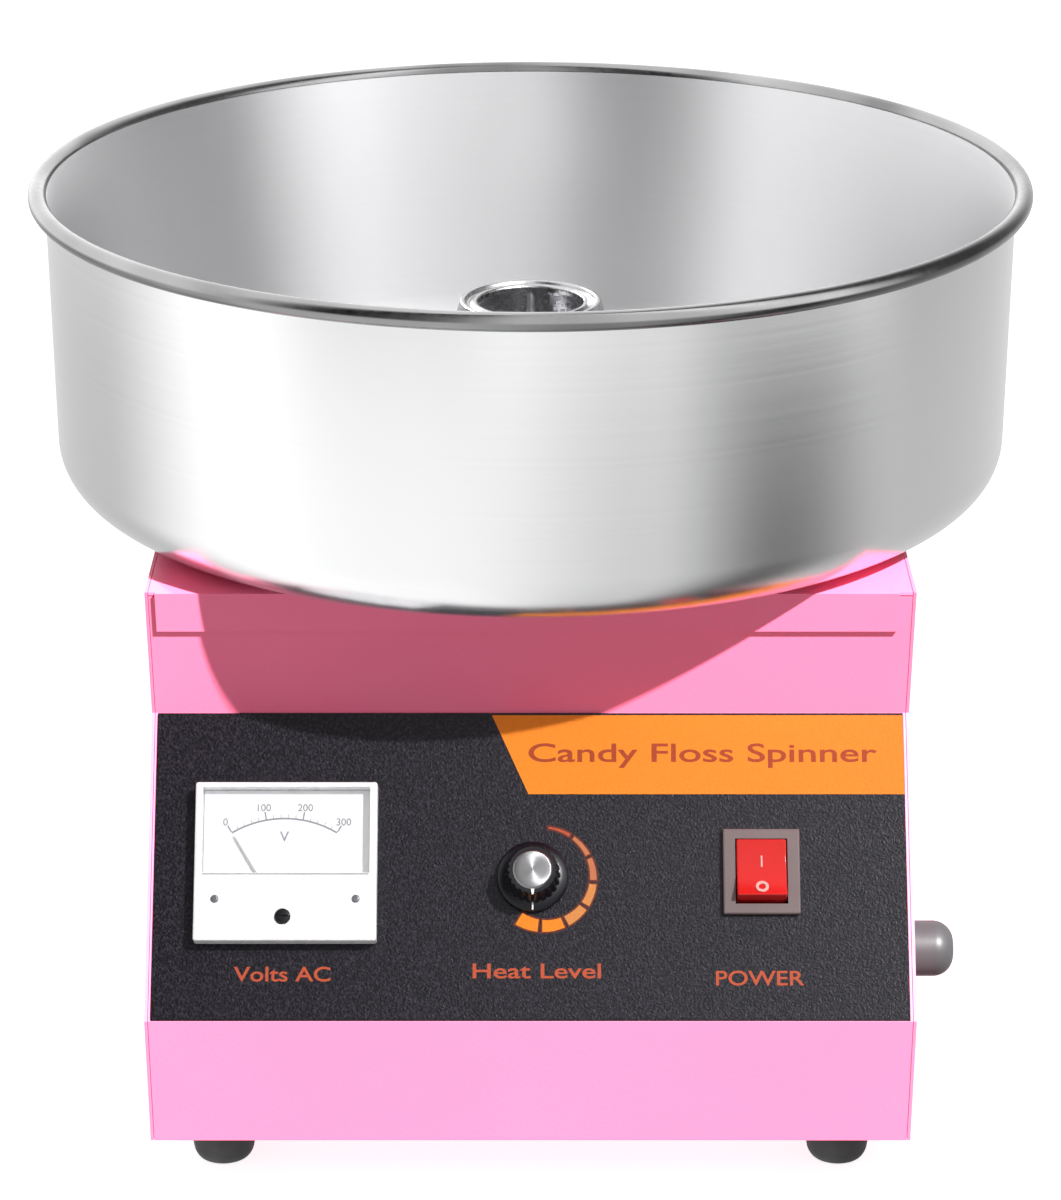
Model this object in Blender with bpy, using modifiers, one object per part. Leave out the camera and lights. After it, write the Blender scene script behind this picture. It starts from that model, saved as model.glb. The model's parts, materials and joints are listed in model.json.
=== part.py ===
"""Cotton candy machine: a sheet-steel cabinet with a sloping control panel, a lift-off steel bowl and,
inside the bowl, a heated head that spins on the motor's shaft.

The origin is on the head's axis at floor level. +X is the operator's right, -Y is the front and +Z is up.
All lengths are in metres. Outlines of folded sheet are (y, z) points, and turned profiles are
(radius, height) points that run down the outer side.
"""

import math

import bmesh
import bpy
from mathutils import Euler, Matrix, Vector

# Driving dimensions of the cabinet
BODY_WIDTH = 0.366
SHEET = 0.0015
GAP = 0.0003
FOOT_HEIGHT = 0.0224
TOP_Z = 0.281
REAR_Y = 0.172
FASCIA_TOP = (-0.173, TOP_Z)
PANEL_TOP = (-0.157, 0.213)
PANEL_FOOT = (-0.245, 0.091)
PLINTH_FOOT = (-0.235, FOOT_HEIGHT)
LIP_HEIGHT = 0.021
LIP_LEFT_X = -0.178
LIP_RIGHT_X = 0.175

# Holes and vents of the cabinet. A grid of vents is (columns, rows)
COVER_BORE = 0.026
METER_BORE = 0.027
POT_BORE = 0.0052
FUSE_BORE = 0.0096
GLAND_BORE = 0.0088
SWITCH_MARGIN = 0.0018
LABEL_MARGIN = 0.0012
REAR_VENT_GRID = (12, 2)
REAR_VENT_Z = 0.190
BASE_VENT_GRID = (7, 2)
BASE_VENT_Y = -0.010
VENT_SPACING = 0.014
CUTTER_REACH = 0.02

# Feet
FOOT_RADIUS = 0.0162
FOOT_BORE = 0.0030
FOOT_RECESS_RADIUS = 0.0065
FOOT_RECESS_DEPTH = 0.0035
FOOT_X = 0.150
FOOT_FRONT_Y = -0.206
FOOT_REAR_Y = 0.140

# Bowl
RIM_Z = 0.436
RIM_RADIUS = 0.2455
BEAD_RADIUS = 0.0045
BOWL_TOP_RADIUS = 0.2417
BOWL_FOOT_RADIUS = 0.240
BOWL_CORNER = 0.025
BOWL_BOTTOM_Z = 0.286
BOWL_SHEET = 0.0008
BOWL_HOLE = 0.050
BOWL_NECK = 0.012
GASKET_RADII = (0.056, 0.068)

# Head and drive, all on the Z axis
SHAFT_RADIUS = 0.004
SHAFT_CLEARANCE = 0.0004
SHAFT_FOOT_Z = 0.082
SHAFT_TOP_Z = 0.322
SHAFT_BORE = SHAFT_RADIUS + SHAFT_CLEARANCE
SHOULDER_RADIUS = 0.0065
SHOULDER_Z = (0.229, 0.237)
HEAD_RADIUS = 0.042
HEAD_BASE_Z = 0.312
HEAD_TOP_Z = 0.375
HEAD_MOUTH = 0.027
HEAD_RING = 0.0355
HEAD_FLOOR_Z = HEAD_BASE_Z + 0.002
HEAD_WALL = 0.002
HEAD_SLOTS = 16
SCREEN_RADIUS = 0.040
SCREEN_SHEET = 0.0015
SCREEN_TOP_Z = 0.348
HEATER_FOOT_Z = 0.322
HEATER_RIBS = 4
HEATER_PITCH = 0.006
POST_COUNT = 3
POST_CIRCLE = 0.030
POST_RADIUS = 0.0022
NUT_RADIUS = 0.008
COLLAR_RADIUS = 0.045
COLLAR_TOP_Z = 0.306
MOTOR_RADIUS = 0.046
MOTOR_FOOT_Z = 0.118
MOTOR_WALL = 0.0025
MOTOR_CROWN = 0.004
BEARING_BORE = 0.0113
BEARING_HEIGHT = 0.007
BEARING_SEAT = 0.008
BRACKET_Z = 0.222
BRACKET_SIZE = (0.190, 0.120, 0.003)
BRACKET_POST_RADIUS = 0.005
BRACKET_POST_INSET = 0.012
BRACKET_BORE = 0.012
STATOR_RADII = (0.030, 0.043)
STATOR_Z = (0.140, 0.195)
FAN_RADIUS = 0.040
FAN_HUB = 0.011
FAN_ROOT = 0.009
FAN_Z = (0.084, 0.102)
FAN_BLADES = 6
FAN_PITCH_DEG = 35
BLADE_THICKNESS = 0.0016
BLADE_WIDTH = 0.017
SLIP_RADIUS = 0.020
SLIP_BORE = 0.0156
SLIP_HALF = 0.005
FLANGE_RADIUS = 0.0215
FLANGE_HALF = 0.0026
UPPER_RING_Z = 0.263
LOWER_RING_Z = 0.247
BRUSH_SIDE = 0.008
BRUSH_LENGTH = 0.016
HOLDER_END_X = 0.052
HOLDER_WALL = 0.003
HOLDER_HALF = 0.008
SPRING_TURNS = 4
SPRING_STEPS = 6
SPRING_WIRE = 0.0005

# Control panel, as (across, up the slope from the panel's foot)
METER_CENTRE = (-0.1166, 0.0754)
METER_SIZE = (0.087, 0.077)
METER_FRONT = 0.011
METER_DIVIDER = 0.069
NEEDLE_PIVOT = (-0.1177, 0.0485)
NEEDLE_LENGTH = 0.0465
NEEDLE_REST_DEG = 31.0
METER_BARREL = 0.026
RECESS_WIDTH = 0.080
RECESS_TOP = 0.112
RECESS_FLOOR = 0.003
DIAL_FACE = 0.0041
WINDOW_FACE = 0.0131
KNOB_AXIS = (0.001, 0.0693)
KNOB_SKIRT = 0.017
KNOB_TOP = 0.0205
KNOB_FOOT = 0.0016
KNOB_GROOVES = 12
PLAIN_GROOVE = 9
POT_SHAFT_RADIUS = 0.0030
POT_SHAFT_BORE = 0.0034
SWITCH_CENTRE = (0.1103, 0.07175)
BEZEL_SIZE = (0.0367, 0.0413)
SWITCH_OPENING = (0.0250, 0.0316)
BEZEL_HEIGHT = 0.0032
ROCKER_TILT_DEG = 10.0
LABEL_THICKNESS = 0.0004
LABEL_FACE = GAP + LABEL_THICKNESS

# Fuse, on the right-hand side panel
FUSE_CENTRE = (-0.150, 0.084)
FUSE_CAP_RADIUS = 0.0138
FUSE_CAP_ROUNDING = 0.0100
FUSE_CAP_END = 0.2095

# Cord gland, on the rear panel, as (x, z)
GLAND_CENTRE = (0.120, 0.060)

# What stands on the base plate
BASE_TOP_Z = FOOT_HEIGHT + SHEET + GAP
BOARD_LOW = (-0.150, -0.070)
BOARD_HIGH = (-0.070, -0.010)
BOARD_RISE = 0.008
BOARD_THICKNESS = 0.0016
LEG_SIDE = 0.005
SINK_LOW = (-0.150, 0.010)
SINK_HIGH = (-0.090, 0.060)
SINK_FLOOR = 0.004
FIN_COUNT = 7
FIN_SIZE = (0.002, 0.048, 0.0265)
CAPACITOR_CENTRE = (0.120, -0.100)
CAPACITOR_RADIUS = 0.016
CAPACITOR_TOP_Z = 0.080
BLOCK_LOW = (0.075, 0.095)
BLOCK_HIGH = (0.145, 0.115)
BLOCK_HEIGHT = 0.014
BLOCK_WAYS = 6
WAY_SPACING = 0.0112

# A six-sided bore is this much wider across its corners than the round pin that it clears
HEX_CLEARANCE = 1 / math.cos(math.pi / 6)

INNER_X = BODY_WIDTH / 2 - SHEET - GAP
PANEL_SLOPE = math.atan2(PANEL_TOP[1] - PANEL_FOOT[1], PANEL_TOP[0] - PANEL_FOOT[0])
PANEL_LENGTH = math.hypot(PANEL_TOP[1] - PANEL_FOOT[1], PANEL_TOP[0] - PANEL_FOOT[0])
ALONG_X = (math.pi / 2, 0, math.pi / 2)
POINTING_X = (0, math.pi / 2, 0)
POINTING_Y = (-math.pi / 2, 0, 0)

for leftover in list(bpy.data.objects):
    bpy.data.objects.remove(leftover)
PARTS = bpy.data.collections.new("cotton_candy_machine")
CUTTERS = bpy.data.collections.new("cutters")
bpy.context.scene.collection.children.link(PARTS)
bpy.context.scene.collection.children.link(CUTTERS)


def material(name, colour, roughness, metallic=0.0):
    made = bpy.data.materials.new(name)
    made.use_nodes = True
    shader = made.node_tree.nodes["Principled BSDF"]
    shader.inputs["Base Color"].default_value = (*colour, 1.0)
    shader.inputs["Roughness"].default_value = roughness
    shader.inputs["Metallic"].default_value = metallic
    return made


PINK = material("pink_powder_coat", (0.95, 0.36, 0.60), 0.40)
STAINLESS = material("stainless_steel", (0.72, 0.72, 0.72), 0.18, 1.0)
STEEL = material("plain_steel", (0.55, 0.55, 0.56), 0.40, 1.0)
ALUMINIUM = material("cast_aluminium", (0.70, 0.70, 0.71), 0.35, 1.0)
LABEL = material("panel_label", (0.030, 0.028, 0.040), 0.45)
RUBBER = material("black_rubber", (0.030, 0.030, 0.032), 0.75)
BLACK = material("black_plastic", (0.020, 0.020, 0.022), 0.30)
GREY = material("grey_plastic", (0.28, 0.27, 0.27), 0.45)
WHITE = material("white_plastic", (0.88, 0.88, 0.90), 0.35)
CLEAR = material("clear_acrylic", (0.95, 0.97, 0.98), 0.08)
RED = material("red_plastic", (0.80, 0.02, 0.03), 0.25)
COPPER = material("copper", (0.72, 0.36, 0.22), 0.30, 1.0)
BRASS = material("brass", (0.75, 0.58, 0.28), 0.30, 1.0)
CARBON = material("carbon", (0.05, 0.05, 0.05), 0.60)
BOARD = material("circuit_board", (0.03, 0.20, 0.08), 0.50)
GLASS = material("glass", (0.85, 0.92, 0.92), 0.05)

PANEL = bpy.data.objects.new("panel_frame", None)
PANEL.location = (0, *PANEL_FOOT)
PANEL.rotation_euler = (PANEL_SLOPE, 0, 0)
PARTS.objects.link(PANEL)


# Making and placing


def place(name, mesh, finish=None, at=(0, 0, 0), turned_by=(0, 0, 0), frame=None):
    """Links the mesh as a part, or as a cutter where it has no finish."""
    obj = bpy.data.objects.new(name, mesh)
    obj.location = at
    obj.rotation_euler = turned_by
    obj.parent = frame
    if finish is None:
        obj.hide_render = True
        obj.display_type = "WIRE"
        CUTTERS.objects.link(obj)
    else:
        mesh.materials.append(finish)
        PARTS.objects.link(obj)
    return obj


def cubes(name, boxes, finish=None, frame=None):
    """Boxes given as (size, centre), all in one mesh."""
    shape = bmesh.new()
    for size, centre in boxes:
        matrix = Matrix.Translation(centre) @ Matrix.Diagonal((*size, 1))
        bmesh.ops.create_cube(shape, size=1, matrix=matrix)
    mesh = bpy.data.meshes.new(name)
    shape.to_mesh(mesh)
    shape.free()
    return place(name, mesh, finish, frame=frame)


def box(name, low, high, finish=None, frame=None, rounding=0.0):
    """A box between two corners, with rounded edges where rounding is given."""
    low, high = Vector(low), Vector(high)
    obj = cubes(name, [(high - low, (low + high) / 2)], finish, frame)
    if rounding:
        bevel = obj.modifiers.new("Rounded edges", "BEVEL")
        bevel.width = rounding
        bevel.segments = 2
    return obj


def turned(name, profile, finish=None, steps=32, **placing):
    """A solid turned about its own Z axis. A profile that starts off the axis is a closed ring."""
    edges = [(i, i + 1) for i in range(len(profile) - 1)]
    if profile[0][0] > 0:
        edges.append((len(profile) - 1, 0))
    mesh = bpy.data.meshes.new(name)
    mesh.from_pydata([(radius, 0, height) for radius, height in profile], edges, [])
    obj = place(name, mesh, finish, **placing)
    screw = obj.modifiers.new("Turn", "SCREW")
    screw.steps = steps
    screw.render_steps = steps
    screw.use_merge_vertices = True
    screw.merge_threshold = 0.00001
    screw.use_smooth_shade = True
    return obj


def cylinder(name, radius, low, high, finish=None, steps=32, **placing):
    return turned(name, [(0, high), (radius, high), (radius, low), (0, low)], finish, steps, **placing)


def ring(name, inner, outer, low, high, finish=None, steps=32, **placing):
    profile = [(outer, high), (outer, low), (inner, low), (inner, high)]
    return turned(name, profile, finish, steps, **placing)


def mesh_of_curve(name, curve):
    """The curve's solid as a mesh, with its caps welded to its sides."""
    helper = bpy.data.objects.new(name, curve)
    PARTS.objects.link(helper)
    bpy.context.view_layer.update()
    solid = bpy.data.meshes.new_from_object(helper.evaluated_get(bpy.context.evaluated_depsgraph_get()))
    bpy.data.objects.remove(helper)
    shape = bmesh.new()
    shape.from_mesh(solid)
    bmesh.ops.remove_doubles(shape, verts=shape.verts, dist=0.00001)
    shape.to_mesh(solid)
    shape.free()
    return solid


def extruded(name, outline, length, finish=None, **placing):
    """A flat outline in the object's own XY plane, extruded half its length each way along Z."""
    curve = bpy.data.curves.new(name, "CURVE")
    curve.dimensions = "2D"
    curve.fill_mode = "BOTH"
    curve.extrude = length / 2
    spline = curve.splines.new("POLY")
    spline.points.add(len(outline) - 1)
    for point, (x, y) in zip(spline.points, outline):
        point.co = (x, y, 0, 1)
    spline.use_cyclic_u = True
    return place(name, mesh_of_curve(name, curve), finish, **placing)


def wire(name, points, radius, finish, **placing):
    """A round wire through the points."""
    curve = bpy.data.curves.new(name, "CURVE")
    curve.dimensions = "3D"
    curve.bevel_depth = radius
    curve.bevel_resolution = 1
    curve.use_fill_caps = True
    spline = curve.splines.new("POLY")
    spline.points.add(len(points) - 1)
    for point, place_of_point in zip(spline.points, points):
        point.co = (*place_of_point, 1)
    return place(name, mesh_of_curve(name, curve), finish, **placing)


def boolean(obj, operation, *others):
    for other in others:
        modifier = obj.modifiers.new(other.name, "BOOLEAN")
        modifier.operation = operation
        modifier.solver = "EXACT"
        modifier.object = other
    return obj


def cut(obj, *cutters):
    return boolean(obj, "DIFFERENCE", *cutters)


def join(obj, *helpers):
    return boolean(obj, "UNION", *helpers)


def arc(centre, radius, start_deg, end_deg, count):
    """Points of an arc about centre, both ends included."""
    angles = [math.radians(start_deg + (end_deg - start_deg) * i / count) for i in range(count + 1)]
    return [(centre[0] + radius * math.cos(a), centre[1] + radius * math.sin(a)) for a in angles]


def offset_line(points, distance):
    """The open line moved sideways by distance, to the right of its direction, with mitred corners."""
    points = [Vector(point) for point in points]
    normals = []
    for start, end in zip(points, points[1:]):
        along = (end - start).normalized()
        normals.append(Vector((along.y, -along.x)))
    moved = []
    for i, point in enumerate(points):
        before = normals[max(i - 1, 0)]
        after = normals[min(i, len(normals) - 1)]
        mitre = (before + after).normalized()
        moved.append(point + mitre * (distance / mitre.dot(after)))
    return [tuple(point) for point in moved]


def folded_sheet(name, line, left_x, right_x, finish):
    """Sheet folded along a line of (y, z) points, with its thickness to the right of the line."""
    outline = list(line) + offset_line(line, SHEET)[::-1]
    middle = (left_x + right_x) / 2
    return extruded(name, outline, right_x - left_x, finish, at=(middle, 0, 0), turned_by=ALONG_X)


def fascia_y(z):
    """The fascia's outer face at a height."""
    share = (TOP_Z - z) / (TOP_Z - PANEL_TOP[1])
    return FASCIA_TOP[0] + share * (PANEL_TOP[0] - FASCIA_TOP[0])


def on_panel(point, height=0.0):
    """A panel place as the location of a part under the panel's frame."""
    return (*point, height)


def panel_box(name, centre, size, low, high, finish=None, rounding=0.0):
    """A box on the control panel, between two heights along its normal."""
    corner = (centre[0] - size[0] / 2, centre[1] - size[1] / 2, low)
    opposite = (centre[0] + size[0] / 2, centre[1] + size[1] / 2, high)
    return box(name, corner, opposite, finish, PANEL, rounding)


# Cabinet


def make_top_cover():
    """The cover and its folded front lip, whose ends stop short of the cover's own ends."""
    lip_step = (GAP + SHEET) * math.hypot(1, (PANEL_TOP[0] - FASCIA_TOP[0]) / (TOP_Z - PANEL_TOP[1]))
    lip_z = TOP_Z - LIP_HEIGHT
    line = [(fascia_y(lip_z) - lip_step, lip_z), (fascia_y(TOP_Z) - lip_step, TOP_Z), (REAR_Y, TOP_Z)]
    cover = folded_sheet("top_cover", line, -INNER_X, INNER_X, PINK)
    front = fascia_y(TOP_Z) - 2 * lip_step
    back = fascia_y(TOP_Z) + GAP
    below = lip_z - lip_step
    fold_back = back + LIP_HEIGHT / 2
    cutters = [cylinder("top_cover_bore", COVER_BORE, TOP_Z - CUTTER_REACH, TOP_Z + CUTTER_REACH)]
    for side, start, end in (("left", -BODY_WIDTH, LIP_LEFT_X), ("right", LIP_RIGHT_X, BODY_WIDTH)):
        cutters.append(box(f"lip_notch_{side}", (start, front, below), (end, back, TOP_Z + SHEET)))
        cutters.append(box(f"lip_end_{side}", (start, front, below), (end, fold_back, TOP_Z - SHEET)))
    cut(cover, *cutters)


def make_panel_openings():
    """The holes that the front panel and its label share, as cutters."""
    reach = CUTTER_REACH
    meter = cylinder("meter_hole", METER_BORE, -reach, reach, frame=PANEL, at=on_panel(METER_CENTRE))
    knob = cylinder("knob_hole", POT_BORE, -reach, reach, steps=24, frame=PANEL, at=on_panel(KNOB_AXIS))
    size = (SWITCH_OPENING[0] + 2 * SWITCH_MARGIN, SWITCH_OPENING[1] + 2 * SWITCH_MARGIN)
    switch = panel_box("switch_hole", SWITCH_CENTRE, size, -reach, reach)
    return meter, knob, switch


def make_front(openings):
    """Fascia, control slope and plinth in one folded sheet, and the printed label on the slope."""
    top_z = TOP_Z - SHEET - 3 * GAP
    line = [PLINTH_FOOT, PANEL_FOOT, PANEL_TOP, (fascia_y(top_z), top_z)]
    cut(folded_sheet("front_panel", line, -INNER_X, INNER_X, PINK), *openings)
    low = (-INNER_X + LABEL_MARGIN, LABEL_MARGIN, GAP)
    high = (INNER_X - LABEL_MARGIN, PANEL_LENGTH - LABEL_MARGIN, LABEL_FACE)
    cut(box("control_label", low, high, LABEL, PANEL), *openings)


def make_sides():
    outline = [PLINTH_FOOT, (REAR_Y, FOOT_HEIGHT), (REAR_Y, TOP_Z), FASCIA_TOP, PANEL_TOP, PANEL_FOOT]
    middle = (BODY_WIDTH - SHEET) / 2
    extruded("left_side_panel", outline, SHEET, PINK, at=(-middle, 0, 0), turned_by=ALONG_X)
    right = extruded("right_side_panel", outline, SHEET, PINK, at=(middle, 0, 0), turned_by=ALONG_X)
    placing = {"at": (middle, *FUSE_CENTRE), "turned_by": POINTING_X}
    cut(right, cylinder("fuse_hole", FUSE_BORE, -CUTTER_REACH, CUTTER_REACH, steps=24, **placing))


def vent_slots(name, grid, size, spacing, centre):
    """A grid of slots as one cutter. size, spacing and centre are (x, y, z), and rows step along y and z."""
    columns, rows = grid
    slots = []
    for column in range(columns):
        for row in range(rows):
            step = (column - (columns - 1) / 2, row - (rows - 1) / 2)
            shift = Vector((spacing[0] * step[0], spacing[1] * step[1], spacing[2] * step[1]))
            slots.append((size, Vector(centre) + shift))
    return cubes(name, slots)


def make_rear_and_base():
    """The rear panel, with its vents and gland hole, and the vented base plate."""
    rear_low = (-INNER_X, REAR_Y - SHEET, BASE_TOP_Z)
    rear = box("rear_panel", rear_low, (INNER_X, REAR_Y, TOP_Z - SHEET - GAP), PINK)
    size = (0.0045, CUTTER_REACH, 0.040)
    spacing = (VENT_SPACING, 0, 0.060)
    vents = vent_slots("rear_vents", REAR_VENT_GRID, size, spacing, (0, REAR_Y, REAR_VENT_Z))
    placing = {"at": (GLAND_CENTRE[0], REAR_Y, GLAND_CENTRE[1]), "turned_by": POINTING_Y}
    cut(rear, vents, cylinder("gland_hole", GLAND_BORE, -CUTTER_REACH, CUTTER_REACH, steps=18, **placing))
    base_low = (-INNER_X, PLINTH_FOOT[0] + SHEET + 2 * GAP, FOOT_HEIGHT)
    base = box("base_plate", base_low, (INNER_X, REAR_Y, FOOT_HEIGHT + SHEET), PINK)
    size = (0.005, 0.050, CUTTER_REACH)
    spacing = (VENT_SPACING, 0.066, 0)
    cut(base, vent_slots("base_vents", BASE_VENT_GRID, size, spacing, (0, BASE_VENT_Y, FOOT_HEIGHT)))


def make_gland():
    """A bush for the cord, with a flange outside the rear panel."""
    profile = [
        (0.0050, 0.014), (0.0080, 0.012), (0.0105, 0.002), (0.0130, 0.002), (0.0130, GAP), (0.0084, GAP),
        (0.0084, -0.010), (0.0050, -0.010),
    ]
    at = (GLAND_CENTRE[0], REAR_Y, GLAND_CENTRE[1])
    turned("cord_gland", profile, RUBBER, steps=18, at=at, turned_by=POINTING_Y)


def make_feet():
    """Four rubber feet, each with a screw recess from below and a bore through."""
    top = FOOT_HEIGHT - GAP
    profile = [
        (FOOT_BORE, top), (FOOT_RADIUS, top), (FOOT_RADIUS - 0.0006, 0.012), (0.0142, 0.0030), (0.0122, 0),
        (FOOT_RECESS_RADIUS, 0), (FOOT_RECESS_RADIUS, FOOT_RECESS_DEPTH), (FOOT_BORE, FOOT_RECESS_DEPTH),
    ]
    for side, x in (("left", -FOOT_X), ("right", FOOT_X)):
        for end, y in (("front", FOOT_FRONT_Y), ("rear", FOOT_REAR_Y)):
            turned(f"foot_{end}_{side}", profile, RUBBER, steps=18, at=(x, y, 0))


# Bowl and what it stands on


def make_bowl():
    """The lift-off bowl, with a rolled rim and a raised neck round its centre hole, and its gasket."""
    inner_radius = BOWL_TOP_RADIUS - BOWL_SHEET
    corner = (BOWL_FOOT_RADIUS - BOWL_CORNER, BOWL_BOTTOM_Z + BOWL_CORNER)
    meets_wall = math.degrees(math.acos((BOWL_TOP_RADIUS - RIM_RADIUS) / BEAD_RADIUS))
    meets_inside = math.degrees(math.acos(max(-1, (inner_radius - RIM_RADIUS) / BEAD_RADIUS)))
    floor = BOWL_BOTTOM_Z + BOWL_SHEET
    neck_top = BOWL_BOTTOM_Z + BOWL_NECK
    profile = (
        arc((RIM_RADIUS, RIM_Z), BEAD_RADIUS, meets_inside, -meets_wall, 7)
        + arc(corner, BOWL_CORNER, 0, -90, 4)
        + [(BOWL_HOLE, BOWL_BOTTOM_Z), (BOWL_HOLE, neck_top), (BOWL_HOLE + BOWL_SHEET, neck_top)]
        + [(BOWL_HOLE + BOWL_SHEET, floor)]
        + arc(corner, BOWL_CORNER - BOWL_SHEET, -90, 0, 4)
    )
    turned("floss_bowl", profile, STAINLESS, steps=60)
    ring("bowl_gasket", *GASKET_RADII, TOP_Z + GAP, BOWL_BOTTOM_Z - GAP, RUBBER, steps=32)


def make_collar():
    """The upstand round the shaft that keeps sugar out of the cabinet."""
    wall, eye = 0.002, 0.030
    foot = TOP_Z + GAP
    profile = [
        (COLLAR_RADIUS, COLLAR_TOP_Z), (COLLAR_RADIUS, foot), (eye, foot), (eye, foot + wall),
        (COLLAR_RADIUS - wall, foot + wall), (COLLAR_RADIUS - wall, COLLAR_TOP_Z),
    ]
    turned("shaft_collar", profile, ALUMINIUM, steps=32)


# Spinning head


def make_head():
    """The head: base on the shaft, heater, slotted screen, cap, and what holds them together."""
    rim_z = HEAD_BASE_Z + 0.008
    hub_radius, hub_foot = 0.009, HEAD_BASE_Z - 0.007
    base = [
        (SCREEN_RADIUS, rim_z), (SCREEN_RADIUS, HEAD_BASE_Z), (hub_radius, HEAD_BASE_Z),
        (hub_radius, hub_foot), (SHAFT_BORE, hub_foot), (SHAFT_BORE, HEAD_FLOOR_Z),
        (SCREEN_RADIUS - HEAD_WALL, HEAD_FLOOR_Z), (SCREEN_RADIUS - HEAD_WALL, rim_z),
    ]
    turned("head_base", base, ALUMINIUM, steps=24)
    make_heater()
    screen_low = rim_z + GAP
    inner = SCREEN_RADIUS - SCREEN_SHEET
    screen = ring("head_screen", inner, SCREEN_RADIUS, screen_low, SCREEN_TOP_Z, STAINLESS, steps=32)
    cut(screen, make_head_slots((screen_low + SCREEN_TOP_Z) / 2))
    make_head_cap()
    for number in range(POST_COUNT):
        angle = math.radians(90) + math.tau * number / POST_COUNT
        at = (POST_CIRCLE * math.cos(angle), POST_CIRCLE * math.sin(angle), 0)
        top = HEAD_TOP_Z - 2 * HEAD_WALL - GAP
        cylinder(f"head_post_{number + 1}", POST_RADIUS, HEAD_FLOOR_Z + GAP, top, STEEL, steps=12, at=at)
    make_head_nut()


def make_heater():
    """The heater ring, with a groove between each two of its ribs."""
    inner, groove, outer = 0.0335, 0.0350, 0.0365
    rib_height, chamfer = 0.004, 0.001
    outline = []
    for number in reversed(range(HEATER_RIBS)):
        low = HEATER_FOOT_Z + HEATER_PITCH * number
        outline += [(outer, low + rib_height), (outer, low), (groove, low), (groove, low - chamfer)]
    top = HEATER_FOOT_Z + HEATER_PITCH * (HEATER_RIBS - 1) + rib_height
    turned("heater_ring", outline + [(inner, HEATER_FOOT_Z - chamfer), (inner, top)], STEEL, steps=20)


def make_head_cap():
    """The cap: a short skirt over the screen, a cone, and a rounded ring round the mouth."""
    low = SCREEN_TOP_Z + GAP
    crown, lip = 0.0025, HEAD_WALL
    skirt_z, cone_z = 0.353, 0.356
    cap = (
        arc((HEAD_RING - crown, HEAD_TOP_Z - crown), crown, 90, 0, 2)
        + [(HEAD_RADIUS - 0.001, cone_z), (HEAD_RADIUS, skirt_z), (HEAD_RADIUS, low)]
        + [(HEAD_RADIUS - HEAD_WALL, low), (HEAD_RADIUS - HEAD_WALL, skirt_z - 0.0005)]
        + [(HEAD_RADIUS - HEAD_WALL - 0.001, cone_z - 0.001)]
        + [(HEAD_RING - HEAD_WALL, HEAD_TOP_Z - 2 * lip), (HEAD_MOUTH, HEAD_TOP_Z - 2 * lip)]
        + arc((HEAD_MOUTH + lip, HEAD_TOP_Z - lip), lip, 180, 90, 2)
    )
    turned("head_cap", cap, ALUMINIUM, steps=28)


def make_head_nut():
    """A domed six-sided nut over the shaft's end."""
    low, shoulder_z, dome_z, top_z = HEAD_FLOOR_Z + GAP, 0.3235, 0.3278, 0.3285
    bore = HEX_CLEARANCE * SHAFT_BORE
    nut = [
        (0, top_z), (NUT_RADIUS / 2, dome_z), (NUT_RADIUS, shoulder_z), (NUT_RADIUS, low), (bore, low),
        (bore, SHAFT_TOP_Z + GAP), (0, SHAFT_TOP_Z + GAP),
    ]
    turned("head_nut", nut, STEEL, steps=6)


def make_head_slots(middle_z):
    """The screen's upright slots as one cutter."""
    shape = bmesh.new()
    size = Matrix.Diagonal((0.008, 0.0022, 0.018, 1))
    out = Matrix.Translation((SCREEN_RADIUS - SCREEN_SHEET / 2, 0, middle_z))
    for number in range(HEAD_SLOTS):
        turn = Matrix.Rotation(math.tau * (number + 0.5) / HEAD_SLOTS, 4, "Z")
        bmesh.ops.create_cube(shape, size=1, matrix=turn @ out @ size)
    mesh = bpy.data.meshes.new("head_slots")
    shape.to_mesh(mesh)
    shape.free()
    return place("head_slots", mesh)


# Motor and slip rings


def make_motor():
    """The motor's housing and end cover, the bearings in their seats, the stator and the armature."""
    top = BRACKET_Z - GAP
    ceiling = top - MOTOR_CROWN
    seat_wall, eye = 0.0145, 0.0060
    housing = [
        (MOTOR_RADIUS - 0.003, top), (MOTOR_RADIUS, top - 0.003), (MOTOR_RADIUS, MOTOR_FOOT_Z),
        (MOTOR_RADIUS - MOTOR_WALL, MOTOR_FOOT_Z), (MOTOR_RADIUS - MOTOR_WALL, ceiling), (seat_wall, ceiling),
        (seat_wall, ceiling - BEARING_SEAT), (BEARING_BORE, ceiling - BEARING_SEAT),
        (BEARING_BORE, ceiling - GAP), (eye, ceiling - GAP), (eye, top),
    ]
    shell = turned("motor_housing", housing, STEEL, steps=24)
    cut(shell, cubes("motor_vents", [((0.12, 0.010, 0.014), (0, 0, MOTOR_FOOT_Z + 0.010))]))
    cover_top = MOTOR_FOOT_Z - GAP
    cover_foot = cover_top - BEARING_SEAT - HEAD_WALL
    cover = [
        (MOTOR_RADIUS, cover_top), (MOTOR_RADIUS, cover_foot + 0.004), (0.0160, cover_foot),
        (eye, cover_foot), (eye, cover_top - BEARING_SEAT),
        (BEARING_BORE, cover_top - BEARING_SEAT), (BEARING_BORE, cover_top),
    ]
    turned("motor_end_cover", cover, ALUMINIUM, steps=24)
    for name, seat_top in (("upper_bearing", ceiling), ("lower_bearing", cover_top)):
        low = seat_top - BEARING_HEIGHT - 2 * GAP
        ring(name, SHAFT_BORE, BEARING_BORE - 2 * GAP, low, low + BEARING_HEIGHT, STEEL, steps=20)
    ring("motor_stator", *STATOR_RADII, *STATOR_Z, COPPER, steps=24)
    armature_z = (STATOR_Z[0] + 0.002, STATOR_Z[1] - 0.002)
    ring("motor_armature", SHAFT_BORE, STATOR_RADII[0] - 0.0016, *armature_z, STEEL, steps=24)


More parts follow.
